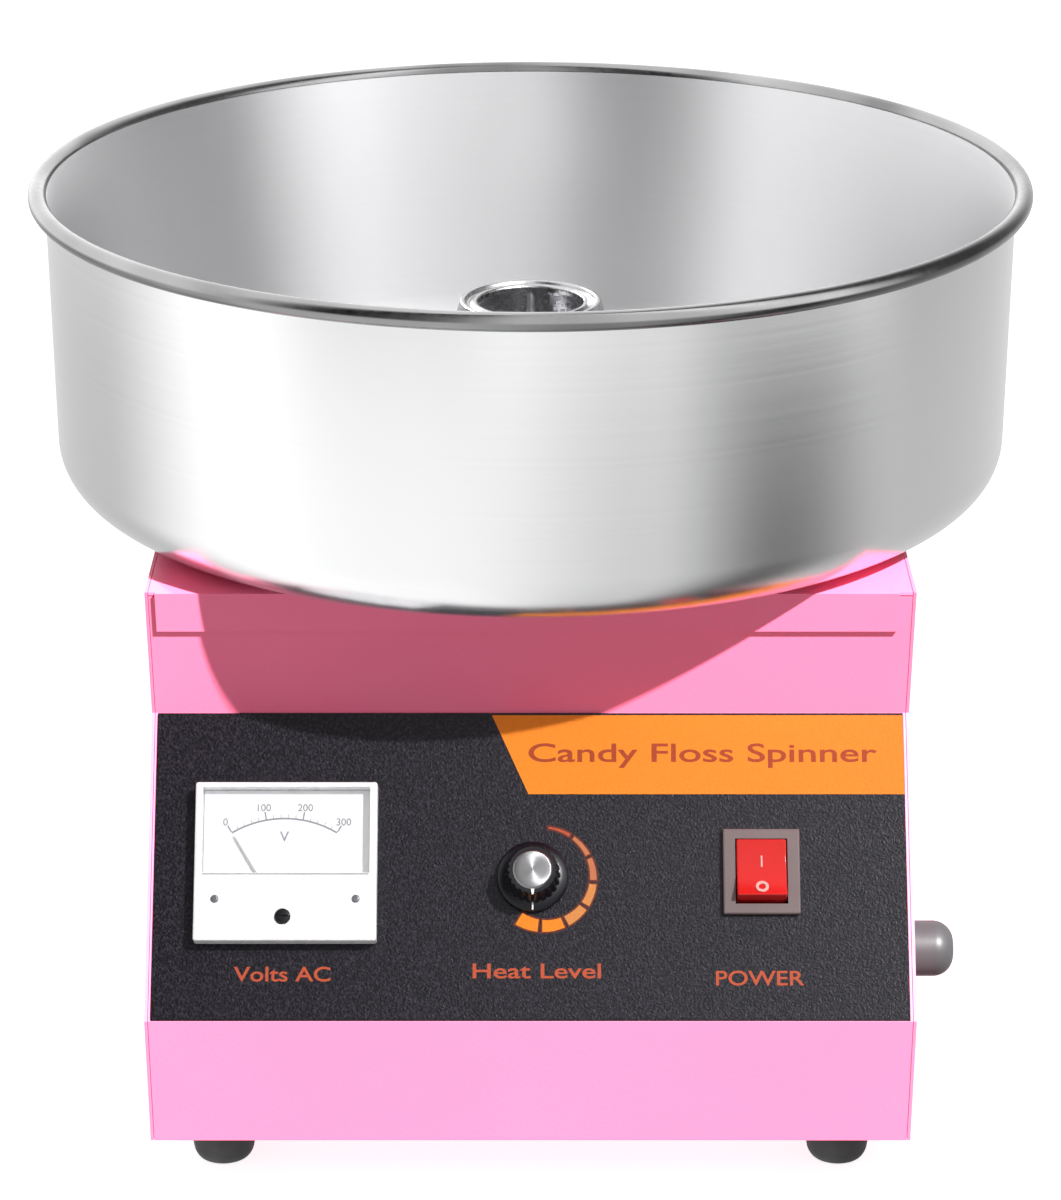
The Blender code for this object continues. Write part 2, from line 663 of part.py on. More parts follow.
def make_bracket():
    """The plate that the motor hangs from, on four posts under the top cover."""
    width, depth, thickness = BRACKET_SIZE
    top_z = BRACKET_Z + thickness
    bracket = box("motor_bracket", (-width / 2, -depth / 2, BRACKET_Z), (width / 2, depth / 2, top_z), STEEL)
    posts = []
    for x in (-1, 1):
        for y in (-1, 1):
            at = (x * (width / 2 - BRACKET_POST_INSET), y * (depth / 2 - BRACKET_POST_INSET), 0)
            span = (BRACKET_Z + thickness / 3, TOP_Z - SHEET - GAP)
            posts.append(cylinder(f"bracket_post_{x}_{y}", BRACKET_POST_RADIUS, *span, steps=12, at=at))
    join(bracket, *posts)
    span = (BRACKET_Z - CUTTER_REACH, BRACKET_Z + CUTTER_REACH)
    cut(bracket, cylinder("bracket_bore", BRACKET_BORE, *span, steps=24))


def make_shaft():
    shoulder_low, shoulder_high = SHOULDER_Z
    profile = [
        (0, SHAFT_TOP_Z), (SHAFT_RADIUS, SHAFT_TOP_Z - 0.001), (SHAFT_RADIUS, shoulder_high),
        (SHOULDER_RADIUS, shoulder_high), (SHOULDER_RADIUS, shoulder_low), (SHAFT_RADIUS, shoulder_low),
        (SHAFT_RADIUS, SHAFT_FOOT_Z), (0, SHAFT_FOOT_Z),
    ]
    turned("motor_shaft", profile, STEEL, steps=24)


def make_fan():
    """A hub with pitched blades, on the foot of the shaft."""
    fan = ring("cooling_fan", SHAFT_BORE, FAN_HUB, *FAN_Z, GREY, steps=18)
    blades = bmesh.new()
    out = Matrix.Translation(((FAN_RADIUS + FAN_ROOT) / 2, 0, sum(FAN_Z) / 2))
    pitch = Matrix.Rotation(math.radians(FAN_PITCH_DEG), 4, "X")
    size = Matrix.Diagonal((FAN_RADIUS - FAN_ROOT, BLADE_THICKNESS, BLADE_WIDTH, 1))
    for number in range(FAN_BLADES):
        turn = Matrix.Rotation(math.tau * number / FAN_BLADES, 4, "Z")
        bmesh.ops.create_cube(blades, size=1, matrix=turn @ out @ pitch @ size)
    mesh = bpy.data.meshes.new("fan_blades")
    blades.to_mesh(mesh)
    blades.free()
    join(fan, place("fan_blades", mesh))


def make_slip_rings():
    """Two brass rings on an insulating hub, with a flange between them."""
    inner = SLIP_BORE - GAP
    middle = (UPPER_RING_Z + LOWER_RING_Z) / 2
    hub_low, hub_high = LOWER_RING_Z - 0.0095, UPPER_RING_Z + 0.011
    profile = [
        (inner, hub_high), (inner, middle + FLANGE_HALF), (FLANGE_RADIUS, middle + FLANGE_HALF),
        (FLANGE_RADIUS, middle - FLANGE_HALF), (inner, middle - FLANGE_HALF), (inner, hub_low),
        (SHAFT_BORE, hub_low), (SHAFT_BORE, hub_high),
    ]
    turned("slip_ring_hub", profile, BLACK, steps=20)
    for name, z in (("upper_slip_ring", UPPER_RING_Z), ("lower_slip_ring", LOWER_RING_Z)):
        ring(name, SLIP_BORE, SLIP_RADIUS, z - SLIP_HALF, z + SLIP_HALF, BRASS, steps=20)


def make_brush(name, side, z):
    """A brush in its holder: side is -1 on the left of the shaft and +1 on its right."""
    half = BRUSH_SIDE / 2
    inner = SLIP_RADIUS + GAP
    outer = inner + BRUSH_LENGTH
    holder_inner = inner + half
    channel_end = HOLDER_END_X - HOLDER_WALL
    floor = BRACKET_Z + BRACKET_SIZE[2] + GAP

    def across(x_inner, x_outer):
        return sorted((side * x_inner, side * x_outer))

    x_low, x_high = across(holder_inner, HOLDER_END_X)
    low, high = (x_low, -HOLDER_HALF, floor), (x_high, HOLDER_HALF, z + HOLDER_HALF)
    holder = box(f"{name}_brush_holder", low, high, BLACK)
    x_low, x_high = across(inner - half, channel_end)
    channel = half + GAP
    cut(holder, box(f"{name}_brush_channel", (x_low, -channel, z - channel), (x_high, channel, z + channel)))
    x_low, x_high = across(inner, outer)
    box(f"{name}_carbon_brush", (x_low, -half, z - half), (x_high, half, z + half), CARBON)
    make_brush_spring(name, side, z, outer + GAP + SPRING_WIRE, channel_end - GAP - SPRING_WIRE)


def make_brush_spring(name, side, z, start, end):
    """The coil between the brush and the end of its channel."""
    coil_radius = BRUSH_SIDE / 2 - 2 * SPRING_WIRE
    count = SPRING_TURNS * SPRING_STEPS
    points = []
    for i in range(count + 1):
        angle = math.tau * i / SPRING_STEPS
        x = side * (start + (end - start) * i / count)
        points.append((x, coil_radius * math.cos(angle), z + coil_radius * math.sin(angle)))
    wire(f"{name}_brush_spring", points, SPRING_WIRE, STEEL)


# Control panel parts


def make_meter():
    """The meter's case with its barrel, the dial in its recess, the window, needle and zero screw."""
    low = LABEL_FACE + GAP
    case = panel_box("meter_case", METER_CENTRE, METER_SIZE, low, METER_FRONT, WHITE, rounding=0.0012)
    placing = {"frame": PANEL, "at": on_panel(METER_CENTRE)}
    barrel = cylinder("meter_barrel", METER_BARREL, -2 * CUTTER_REACH, low + 0.001, **placing)
    recess_centre = (METER_CENTRE[0], (METER_DIVIDER + RECESS_TOP) / 2)
    recess_size = (RECESS_WIDTH, RECESS_TOP - METER_DIVIDER - 0.0012)
    recess = panel_box("meter_recess", recess_centre, recess_size, RECESS_FLOOR, CUTTER_REACH)
    pocket_centre = (NEEDLE_PIVOT[0], NEEDLE_PIVOT[1] + 0.0075)
    pocket = panel_box("needle_pocket", pocket_centre, (0.044, 0.030), RECESS_FLOOR, 0.0075)
    placing = {"frame": PANEL, "at": on_panel(NEEDLE_PIVOT)}
    bore = cylinder("zero_bore", 0.0039, 0.005, CUTTER_REACH, steps=20, **placing)
    cut(join(case, barrel), recess, pocket, bore)
    dial_size = (recess_size[0] - 0.001, recess_size[1] - 0.001)
    panel_box("meter_dial", recess_centre, dial_size, RECESS_FLOOR + GAP, DIAL_FACE, WHITE)
    window_size = (METER_SIZE[0] - 0.003, recess_size[1] + 0.002)
    span = (METER_FRONT + GAP, WINDOW_FACE)
    panel_box("meter_window", recess_centre, window_size, *span, CLEAR, rounding=0.0006)
    make_needle()
    make_zero_screw(placing)


def make_zero_screw(placing):
    """A small round head with a screwdriver slot, on the needle's axis."""
    low, shoulder, top = 0.0082, 0.0120, 0.0125
    radius, top_radius = 0.0036, 0.0030
    head = [(0, top), (top_radius, top), (radius, shoulder), (radius, low), (0, low)]
    screw = turned("meter_zero_screw", head, BLACK, steps=20, **placing)
    slot = panel_box("zero_slot", NEEDLE_PIVOT, (0.010, 0.001), top - 0.001, top + 0.0015)
    cut(screw, slot)


def make_needle():
    """A tapering needle with a short tail, on a round hub."""
    half_root, half_tip, tail = 0.0009, 0.00025, -0.004
    outline = [(-half_root, tail), (half_root, tail), (half_tip, NEEDLE_LENGTH), (-half_tip, NEEDLE_LENGTH)]
    turn = (0, 0, math.radians(NEEDLE_REST_DEG))
    placing = {"frame": PANEL, "at": on_panel(NEEDLE_PIVOT, 0.0053), "turned_by": turn}
    needle = extruded("meter_needle", outline, 0.0006, BLACK, **placing)
    join(needle, cylinder("needle_hub", 0.0026, -0.0008, 0.0014, steps=12, **placing))


def make_temperature_control():
    """The potentiometer behind the panel, its nut and shaft, and the knob."""
    placing = {"frame": PANEL, "at": on_panel(KNOB_AXIS)}
    back, rear, bush_top, floor = -SHEET - GAP, -0.0275, 0.0050, -0.0200
    bush, body_radius = 0.0048, 0.0140
    body = [
        (POT_SHAFT_BORE, floor), (POT_SHAFT_BORE, bush_top), (bush, bush_top), (bush, back),
        (body_radius - 0.001, back), (body_radius, back - 0.001), (body_radius, rear + 0.0015),
        (0.0110, rear), (0, rear), (0, floor),
    ]
    turned_from_axis_gap("potentiometer", body, placing)
    nut_low, nut_high = LABEL_FACE + GAP, LABEL_FACE + 0.0026
    nut_bore = HEX_CLEARANCE * (bush + GAP)
    ring("potentiometer_nut", nut_bore, 0.0088, nut_low, nut_high, STEEL, steps=6, **placing)
    cylinder("potentiometer_shaft", POT_SHAFT_RADIUS, floor + 0.0005, 0.0175, STEEL, steps=20, **placing)
    make_knob(placing)


def turned_from_axis_gap(name, body, placing):
    """The blind bore's profile starts off the axis but reaches it: order it from the axis to the axis."""
    first_on_axis = next(i for i, point in enumerate(body) if point[0] == 0)
    profile = body[first_on_axis + 1:] + body[:first_on_axis + 1]
    turned(name, profile, GREY, steps=24, **placing)


def make_knob(placing):
    """A fluted knob on a round skirt, hollow under the skirt, with a metal cap."""
    recess_radius, recess_top, bore_top = 0.0100, 0.0065, 0.0180
    profile = [
        (0, KNOB_TOP), (0.0112, KNOB_TOP), (0.0120, KNOB_TOP - 0.001), (0.0132, 0.0060), (0.0160, 0.0048),
        (KNOB_SKIRT, 0.0038), (KNOB_SKIRT, KNOB_FOOT), (recess_radius, KNOB_FOOT),
        (recess_radius, recess_top), (POT_SHAFT_BORE, recess_top), (POT_SHAFT_BORE, bore_top), (0, bore_top),
    ]
    knob = turned("temperature_knob", profile, BLACK, steps=24, **placing)
    cut(knob, make_knob_grooves(placing))
    top = KNOB_TOP + GAP
    cap = [(0, top + 0.0013), (0.0085, top + 0.0010), (0.0095, top + 0.0003), (0.0095, top), (0, top)]
    turned("knob_cap", cap, ALUMINIUM, steps=24, **placing)


def make_knob_grooves(placing):
    """The grip's grooves as one cutter. The one under the pointer is left plain."""
    grooves = bmesh.new()
    groove = {"cap_ends": True, "segments": 8, "radius1": 0.0024, "radius2": 0.0024, "depth": 0.0180}
    out = Matrix.Translation((0.0148, 0, 0.0160))
    for number in range(KNOB_GROOVES):
        if number == PLAIN_GROOVE:
            continue
        turn = Matrix.Rotation(math.tau * number / KNOB_GROOVES, 4, "Z")
        bmesh.ops.create_cone(grooves, matrix=turn @ out, **groove)
    mesh = bpy.data.meshes.new("knob_grooves")
    grooves.to_mesh(mesh)
    grooves.free()
    return place("knob_grooves", mesh, **placing)


def make_switch():
    """The switch's bezel and body in one moulding, open at the front for the rocker."""
    low = LABEL_FACE + GAP
    span = (low, low + BEZEL_HEIGHT)
    bezel = panel_box("switch_housing", SWITCH_CENTRE, BEZEL_SIZE, *span, GREY, rounding=0.0008)
    body_size = (SWITCH_OPENING[0] + 2 * SHEET, SWITCH_OPENING[1] + 2 * SHEET)
    body = panel_box("switch_body", SWITCH_CENTRE, body_size, -0.0240, low + 0.0010)
    cavity = panel_box("switch_cavity", SWITCH_CENTRE, SWITCH_OPENING, -0.0180, CUTTER_REACH)
    cut(join(bezel, body), cavity)
    half, depth, crown, dip = 0.0142, -0.0075, 0.0080, 0.0052
    outline = [(-half, depth), (half, depth), (half, crown), (0, dip), (-half, crown)]
    tilt = Euler((math.radians(-ROCKER_TILT_DEG), 0, 0)).to_matrix()
    turn = (tilt @ Euler(ALONG_X).to_matrix()).to_euler()
    placing = {"frame": PANEL, "at": on_panel(SWITCH_CENTRE), "turned_by": turn}
    extruded("switch_rocker", outline, SWITCH_OPENING[0] - 0.0010, RED, **placing)


# Fuse and the parts on the base plate


def make_fuse():
    """The holder through the side panel, its screw cap outside and the glass fuse inside."""
    side = BODY_WIDTH / 2
    placing = {"at": (side, *FUSE_CENTRE), "turned_by": POINTING_X}
    flange, barrel, bore = 0.0118, 0.0090, 0.0074
    flange_top, rear, floor = 0.0033, -0.0340, -0.0320
    holder = [
        (bore, floor), (bore, flange_top), (flange, flange_top), (flange, GAP), (barrel, GAP), (barrel, rear),
        (0, rear), (0, floor),
    ]
    turned_from_axis_gap("fuse_holder", holder, placing)
    end = FUSE_CAP_END - side
    rounding = FUSE_CAP_ROUNDING
    plug, plug_end, socket, socket_end = 0.0070, -0.0240, 0.0036, -0.0020
    cap = (
        [(0, end)]
        + arc((FUSE_CAP_RADIUS - rounding, end - rounding), rounding, 90, 0, 4)
        + [(FUSE_CAP_RADIUS, flange_top + GAP), (plug, flange_top + GAP), (plug, plug_end)]
        + [(socket, plug_end), (socket, socket_end), (0, socket_end)]
    )
    turned("fuse_cap", cap, BLACK, steps=24, **placing)
    cylinder("fuse_tube", 0.0032, -0.0300, socket_end - GAP, GLASS, steps=12, **placing)


def make_controller_board():
    """The heater's board on four legs, with its three tallest components."""
    board_z = BASE_TOP_Z + BOARD_RISE
    top = board_z + BOARD_THICKNESS
    board = box("controller_board", (*BOARD_LOW, board_z), (*BOARD_HIGH, top), BOARD)
    leg_height = BOARD_RISE + 0.0005
    details = []
    for x in (BOARD_LOW[0] + LEG_SIDE, BOARD_HIGH[0] - LEG_SIDE):
        for y in (BOARD_LOW[1] + LEG_SIDE, BOARD_HIGH[1] - LEG_SIDE):
            details.append(((LEG_SIDE, LEG_SIDE, leg_height), (x, y, BASE_TOP_Z + leg_height / 2)))
    lumps = (
        ((0.016, 0.012, 0.012), (-0.135, -0.050)),
        ((0.012, 0.020, 0.009), (-0.105, -0.035)),
        ((0.008, 0.026, 0.014), (-0.082, -0.040)),
    )
    for size, (x, y) in lumps:
        details.append((size, (x, y, board_z + 0.001 + size[2] / 2)))
    join(board, cubes("board_details", details))


def make_heatsink():
    top = BASE_TOP_Z + SINK_FLOOR
    sink = box("heatsink", (*SINK_LOW, BASE_TOP_Z), (*SINK_HIGH, top), ALUMINIUM)
    first_x = SINK_LOW[0] + FIN_SIZE[0] / 2
    spacing = (SINK_HIGH[0] - SINK_LOW[0] - FIN_SIZE[0]) / (FIN_COUNT - 1)
    y = (SINK_LOW[1] + SINK_HIGH[1]) / 2
    z = top - 0.001 + FIN_SIZE[2] / 2
    join(sink, cubes("heatsink_fins", [(FIN_SIZE, (first_x + spacing * i, y, z)) for i in range(FIN_COUNT)]))


def make_capacitor():
    bevel = 0.002
    body = [
        (0, CAPACITOR_TOP_Z), (CAPACITOR_RADIUS - bevel, CAPACITOR_TOP_Z),
        (CAPACITOR_RADIUS, CAPACITOR_TOP_Z - bevel), (CAPACITOR_RADIUS, BASE_TOP_Z), (0, BASE_TOP_Z),
    ]
    turned("motor_capacitor", body, GREY, steps=24, at=(*CAPACITOR_CENTRE, 0))


def make_terminal_block():
    top = BASE_TOP_Z + BLOCK_HEIGHT
    block = box("terminal_block", (*BLOCK_LOW, BASE_TOP_Z), (*BLOCK_HIGH, top), WHITE)
    middle_x = (BLOCK_LOW[0] + BLOCK_HIGH[0]) / 2
    middle_y = (BLOCK_LOW[1] + BLOCK_HIGH[1]) / 2
    first_x = middle_x - WAY_SPACING * (BLOCK_WAYS - 1) / 2
    ways = [((0.008, 0.008, 0.010), (first_x + WAY_SPACING * i, middle_y, top)) for i in range(BLOCK_WAYS)]
    cut(block, cubes("terminal_ways", ways))


def make_machine():
    make_top_cover()
    make_front(make_panel_openings())
    make_sides()
    make_rear_and_base()
    make_gland()
    make_feet()
    make_bowl()
    make_collar()
    make_head()
    make_motor()
    make_bracket()
    make_shaft()
    make_fan()
    make_slip_rings()
    make_brush("upper", -1, UPPER_RING_Z)
    make_brush("lower", 1, LOWER_RING_Z)
    make_meter()
    make_temperature_control()
    make_switch()
    make_fuse()
    make_controller_board()
    make_heatsink()
    make_capacitor()
    make_terminal_block()
    bpy.context.view_layer.update()


make_machine()
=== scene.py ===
"""The looks of the cotton candy machine: studio, camera, finishes and the fine pieces around the fixed frame.

All lengths are in metres, in the machine's own frame: +X is the operator's right, -Y the front, +Z up.
Turned profiles are (radius, height) points that run down the outer side, and places on the control panel
are (across, up the slope, out of the panel), measured from the middle of the panel's lower edge.
"""

import json
import math

import bmesh
import bpy
from mathutils import Matrix, Vector

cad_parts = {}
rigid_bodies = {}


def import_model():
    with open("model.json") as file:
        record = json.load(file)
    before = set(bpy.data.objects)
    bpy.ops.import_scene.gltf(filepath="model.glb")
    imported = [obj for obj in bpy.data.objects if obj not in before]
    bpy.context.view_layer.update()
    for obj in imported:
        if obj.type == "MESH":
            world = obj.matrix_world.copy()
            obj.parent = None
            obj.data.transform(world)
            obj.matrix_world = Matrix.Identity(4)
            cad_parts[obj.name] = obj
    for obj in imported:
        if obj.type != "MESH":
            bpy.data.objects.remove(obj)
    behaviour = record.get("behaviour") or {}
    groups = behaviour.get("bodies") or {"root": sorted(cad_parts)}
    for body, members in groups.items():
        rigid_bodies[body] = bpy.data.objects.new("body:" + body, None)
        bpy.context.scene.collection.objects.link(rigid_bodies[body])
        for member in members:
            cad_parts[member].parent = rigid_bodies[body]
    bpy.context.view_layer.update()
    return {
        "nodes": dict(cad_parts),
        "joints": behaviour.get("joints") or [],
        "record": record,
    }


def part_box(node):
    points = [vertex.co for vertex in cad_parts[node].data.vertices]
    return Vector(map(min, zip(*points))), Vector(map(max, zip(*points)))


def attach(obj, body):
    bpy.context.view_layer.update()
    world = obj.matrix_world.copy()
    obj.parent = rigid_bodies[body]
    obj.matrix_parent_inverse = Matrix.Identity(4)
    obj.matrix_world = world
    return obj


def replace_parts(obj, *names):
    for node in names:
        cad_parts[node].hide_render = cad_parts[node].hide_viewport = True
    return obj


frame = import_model()
JOINTS = {joint["name"]: joint for joint in frame["joints"]}

# Camera
CAMERA_PLACE = (0, -1.9477, 0.9443)
CAMERA_PITCH_DEG = 20.6
CAMERA_LENS_MM = 120

# Studio
SUN_AZIMUTH_DEG = 41
SUN_ELEVATION_DEG = 46
SUN_STRENGTH = 15.0
SUN_SIZE_DEG = 1.2
PANEL_SUN_STRENGTH = 3.2
FILL_AZIMUTH_DEG = -145
FILL_ELEVATION_DEG = 22
FILL_STRENGTH = 7.0
AMBIENT = 0.50
FLOOR_GLOW = 0.80
DOME_RADIUS = 1.1
DOME_CENTRE_Z = 0.30
BACKDROP_RADIUS = 20.0
# The studio's soft boxes and dark flags, as (degrees from the front towards the right, brightness). They are
# listed one by one, knowing that a wall of the bowl that faces some angle mirrors the studio at twice that
# angle.
# Below eye level, mirrored by the bowl's outside: a soft box front left and a dark flag front right
LOW_CARDS = ((-180, 0.8), (-110, 0.6), (-65, 1.3), (-25, 1.2), (25, 0.7), (55, 0.1), (90, 0.6), (180, 0.8))
# Above eye level, mirrored by the bowl's inside: a soft box front right and a dark flag front left
HIGH_CARDS = (
    (-180, 2.0), (-70, 2.0), (-40, 0.0), (-20, 0.2), (0, 1.6), (35, 1.6), (55, 3.0), (70, 2.6), (90, 0.2),
    (120, 0.2), (180, 2.0),
)
CARDS_MEET_DEG = 6

# Bowl, head and feet
RIM_BEAD = 0.0045
BOWL_SHEET = 0.0008
BOWL_TAPER = 0.0038
BOWL_FOOT_RADIUS = 0.240
BOWL_CORNER = 0.025
BOWL_HOLE = 0.050
BOWL_NECK = 0.012
HEAD_RING = 0.0355
HEAD_MOUTH = 0.0270
HEAD_GROOVE = 0.0024
HEAD_BORE = 0.0044
FOOT_RECESS = 0.0065
FOOT_BORE = 0.0030
FOOT_DEPTH = 0.0035

# Control panel, (across, up the slope) from the middle of its lower edge
PANEL_FOOT = (0, -0.245, 0.091)
KNOB_AXIS = (0.001, 0.0693)
KNOB_RECESS = 0.0100
METER_CENTRE = (-0.1166, 0.0754)
METER_SIZE = (0.087, 0.077)
METER_DIVIDER = 0.069
METER_FACE = 0.0113
NEEDLE_PIVOT = (-0.1177, 0.0485)
DIAL_FACE = 0.0041
DIAL_SWEEP_DEG = 31
DIAL_RADIUS = 0.0488
SWITCH_CENTRE = (0.1103, 0.07175)
PANEL_PIECES = (
    "control_label", "label_", "heat_step", "meter_", "zero_screw", "knob_", "temperature_knob", "rocker_",
    "switch_", "pot_",
)
LABEL_FACE = 0.0007
PRINT_THICKNESS = 0.00006

ROUND = 96


# Frames of reference


def panel_matrix():
    """The control panel's frame: X across, Y up the slope, Z out of the panel."""
    joint = JOINTS["temperature_turn"]
    out = Vector(joint["axis"]).normalized()
    across = Vector((1, 0, 0))
    up = out.cross(across)
    turn = Matrix((across, up, out)).transposed()
    on_axis = Vector(joint["pos_m"])
    foot = on_axis - across * KNOB_AXIS[0] - up * KNOB_AXIS[1]
    foot -= out * (foot - Vector(PANEL_FOOT)).dot(out)
    return Matrix.Translation(foot) @ turn.to_4x4()


PANEL = panel_matrix()


def on_panel(point, height=0.0):
    """A place on the control panel as a matrix."""
    return PANEL @ Matrix.Translation((point[0], point[1], height))


def facing(direction, origin):
    """A frame at origin with its Z axis along direction."""
    turn = Vector((0, 0, 1)).rotation_difference(Vector(direction))
    return Matrix.Translation(origin) @ turn.to_matrix().to_4x4()


# Making pieces


def add_piece(name, mesh, finish, body, matrix=Matrix.Identity(4), sharp_deg=35):
    """Links the mesh as a piece of the machine that moves with a body."""
    mesh.materials.clear()
    mesh.materials.append(finish)
    mesh.shade_smooth()
    mesh.set_sharp_from_angle(angle=math.radians(sharp_deg))
    piece = bpy.data.objects.new(name, mesh)
    piece.matrix_world = matrix
    bpy.context.scene.collection.objects.link(piece)
    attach(piece, body)
    return piece


def bevelled(piece, width, segments=3, angle_deg=30):
    """Rounds the piece's edges that are sharper than the angle."""
    bevel = piece.modifiers.new("Rounded edges", "BEVEL")
    bevel.width = width
    bevel.segments = segments
    bevel.limit_method = "ANGLE"
    bevel.angle_limit = math.radians(angle_deg)
    bevel.harden_normals = True
    return piece


def mesh_from(shape, name):
    """The finished mesh of a bmesh shape, with its faces outward."""
    bmesh.ops.recalc_face_normals(shape, faces=shape.faces)
    mesh = bpy.data.meshes.new(name)
    shape.to_mesh(mesh)
    shape.free()
    return mesh


def turned_mesh(name, profile, steps=ROUND):
    """A closed solid turned about Z. A profile that starts off the axis is a closed ring."""
    shape = bmesh.new()
    rings = []
    for radius, height in profile:
        if radius < 1e-7:
            rings.append([shape.verts.new((0, 0, height))])
        else:
            angles = [math.tau * i / steps for i in range(steps)]
            places = [(radius * math.cos(a), radius * math.sin(a), height) for a in angles]
            rings.append([shape.verts.new(place) for place in places])
    pairs = list(zip(rings, rings[1:]))
    if len(rings[0]) > 1:
        pairs.append((rings[-1], rings[0]))
    for upper, lower in pairs:
        for i in range(steps):
            j = (i + 1) % steps
            corners = [upper[i % len(upper)], upper[j % len(upper)]]
            corners += [lower[j % len(lower)], lower[i % len(lower)]]
            unique = list(dict.fromkeys(corners))
            if len(unique) > 2:
                shape.faces.new(unique)
    return mesh_from(shape, name)


def prism_mesh(name, outline, low, high):
    """A flat outline in XY, between two heights."""
    shape = bmesh.new()
    floor = [shape.verts.new((x, y, low)) for x, y in outline]
    roof = [shape.verts.new((x, y, high)) for x, y in outline]
    shape.faces.new(floor[::-1])
    shape.faces.new(roof)
    for i in range(len(outline)):
        j = (i + 1) % len(outline)
        shape.faces.new([floor[i], floor[j], roof[j], roof[i]])
    return mesh_from(shape, name)


def box_outline(width, height, centre=(0, 0)):
    """A rectangle as an outline."""
    x, y = centre
    return [
        (x - width / 2, y - height / 2), (x + width / 2, y - height / 2),
        (x + width / 2, y + height / 2), (x - width / 2, y + height / 2),
    ]


def arc(centre, radius, start_deg, end_deg, count):
    """Points along an arc, both ends included."""
    angles = [math.radians(start_deg + (end_deg - start_deg) * i / count) for i in range(count + 1)]
    return [(centre[0] + radius * math.cos(a), centre[1] + radius * math.sin(a)) for a in angles]


def softened(points, radius, steps=4, closed=False):
    """The outline with its corners rounded off. An open outline keeps its two ends."""
    count = len(points)
    soft = []
    for i, point in enumerate(points):
        if not closed and i in (0, count - 1):
            soft.append(tuple(point))
            continue
        corner = Vector(point)
        before = Vector(points[i - 1]) - corner
        after = Vector(points[(i + 1) % count]) - corner
        reach = min(radius, before.length * 0.45, after.length * 0.45)
        start = corner + before.normalized() * reach
        end = corner + after.normalized() * reach
        for k in range(steps + 1):
            t = k / steps
            soft.append(tuple(start * (1 - t) ** 2 + corner * 2 * t * (1 - t) + end * t ** 2))
    return soft


def turned(name, profile, finish, body, matrix=Matrix.Identity(4), steps=ROUND):
    return add_piece(name, turned_mesh(name, profile, steps), finish, body, matrix)


def text_piece(name, words, height, width, centre, finish, level=LABEL_FACE):
    """Words printed on the panel as thin solid letters, fitted to a height and a width."""
    curve = bpy.data.curves.new(name, "FONT")
    curve.body = words
    curve.size = 1.0
    curve.extrude = 0.5
    curve.offset = 0.012
    curve.resolution_u = 6
    helper = bpy.data.objects.new(name, curve)
    bpy.context.scene.collection.objects.link(helper)
    bpy.context.view_layer.update()
    mesh = bpy.data.meshes.new_from_object(helper.evaluated_get(bpy.context.evaluated_depsgraph_get()))
    bpy.data.objects.remove(helper)
    xs = [vertex.co.x for vertex in mesh.vertices]
    ys = [vertex.co.y for vertex in mesh.vertices]
    x_scale = width / (max(xs) - min(xs)) if width else height / (max(ys) - min(ys))
    y_scale = height / (max(ys) - min(ys))
    middle = Vector(((max(xs) + min(xs)) / 2, (max(ys) + min(ys)) / 2, -0.5))
    mesh.transform(Matrix.Diagonal((x_scale, y_scale, PRINT_THICKNESS, 1)) @ Matrix.Translation(-middle))
    return add_piece(name, mesh, finish, "root", on_panel(centre, level))


# Finishes


def principled(name, colour, roughness, metallic=0.0, **sockets):
    """A material whose plain numbers sit on the shader itself."""
    made = bpy.data.materials.new(name)
    made.use_nodes = True
    shader = made.node_tree.nodes["Principled BSDF"]
    shader.inputs["Base Color"].default_value = (*colour, 1)
    shader.inputs["Roughness"].default_value = roughness
    shader.inputs["Metallic"].default_value = metallic
    for socket, value in sockets.items():
        shader.inputs[socket.replace("_", " ")].default_value = value
    return made


def shader_of(material):
    """The material's main shader."""
    return material.node_tree.nodes["Principled BSDF"]


def noise(material, scale, detail=2.0, stretch=(1, 1, 1), name="Texture Coordinate"):
    """Noise in the piece's own space, with its scale in cells a metre."""
    nodes, links = material.node_tree.nodes, material.node_tree.links
    place = nodes.get(name) or nodes.new("ShaderNodeTexCoord")
    mapping = nodes.new("ShaderNodeMapping")
    mapping.inputs["Scale"].default_value = stretch
    texture = nodes.new("ShaderNodeTexNoise")
    texture.inputs["Scale"].default_value = scale
    texture.inputs["Detail"].default_value = detail
    links.new(place.outputs["Object"], mapping.inputs["Vector"])
    links.new(mapping.outputs["Vector"], texture.inputs["Vector"])
    return texture.outputs["Fac"]


def mapped(material, value, low, high, from_low=0.3, from_high=0.7):
    """Rescales a noise value."""
    nodes, links = material.node_tree.nodes, material.node_tree.links
    node = nodes.new("ShaderNodeMapRange")
    node.inputs["From Min"].default_value = from_low
    node.inputs["From Max"].default_value = from_high
    node.inputs["To Min"].default_value = low
    node.inputs["To Max"].default_value = high
    links.new(value, node.inputs["Value"])
    return node.outputs["Result"]


def blended_colour(material, factor, first, second):
    """Base colour between two colours, by a factor."""
    nodes, links = material.node_tree.nodes, material.node_tree.links
    mix = nodes.new("ShaderNodeMix")
    mix.data_type = "RGBA"
    mix.inputs["A"].default_value = (*first, 1)
    mix.inputs["B"].default_value = (*second, 1)
    links.new(factor, mix.inputs["Factor"])
    links.new(mix.outputs["Result"], shader_of(material).inputs["Base Color"])
    return mix


def bumped(material, value, height):
    """Raises the surface by a value, as a bump of that height in metres."""
    nodes, links = material.node_tree.nodes, material.node_tree.links
    bump = nodes.new("ShaderNodeBump")
    bump.inputs["Strength"].default_value = 1.0
    bump.inputs["Distance"].default_value = height
    links.new(value, bump.inputs["Height"])
    links.new(bump.outputs["Normal"], shader_of(material).inputs["Normal"])
    return material


def varied_roughness(material, value, low, high):
    """Lets the roughness follow a noise value."""
    material.node_tree.links.new(mapped(material, value, low, high), shader_of(material).inputs["Roughness"])
    return material


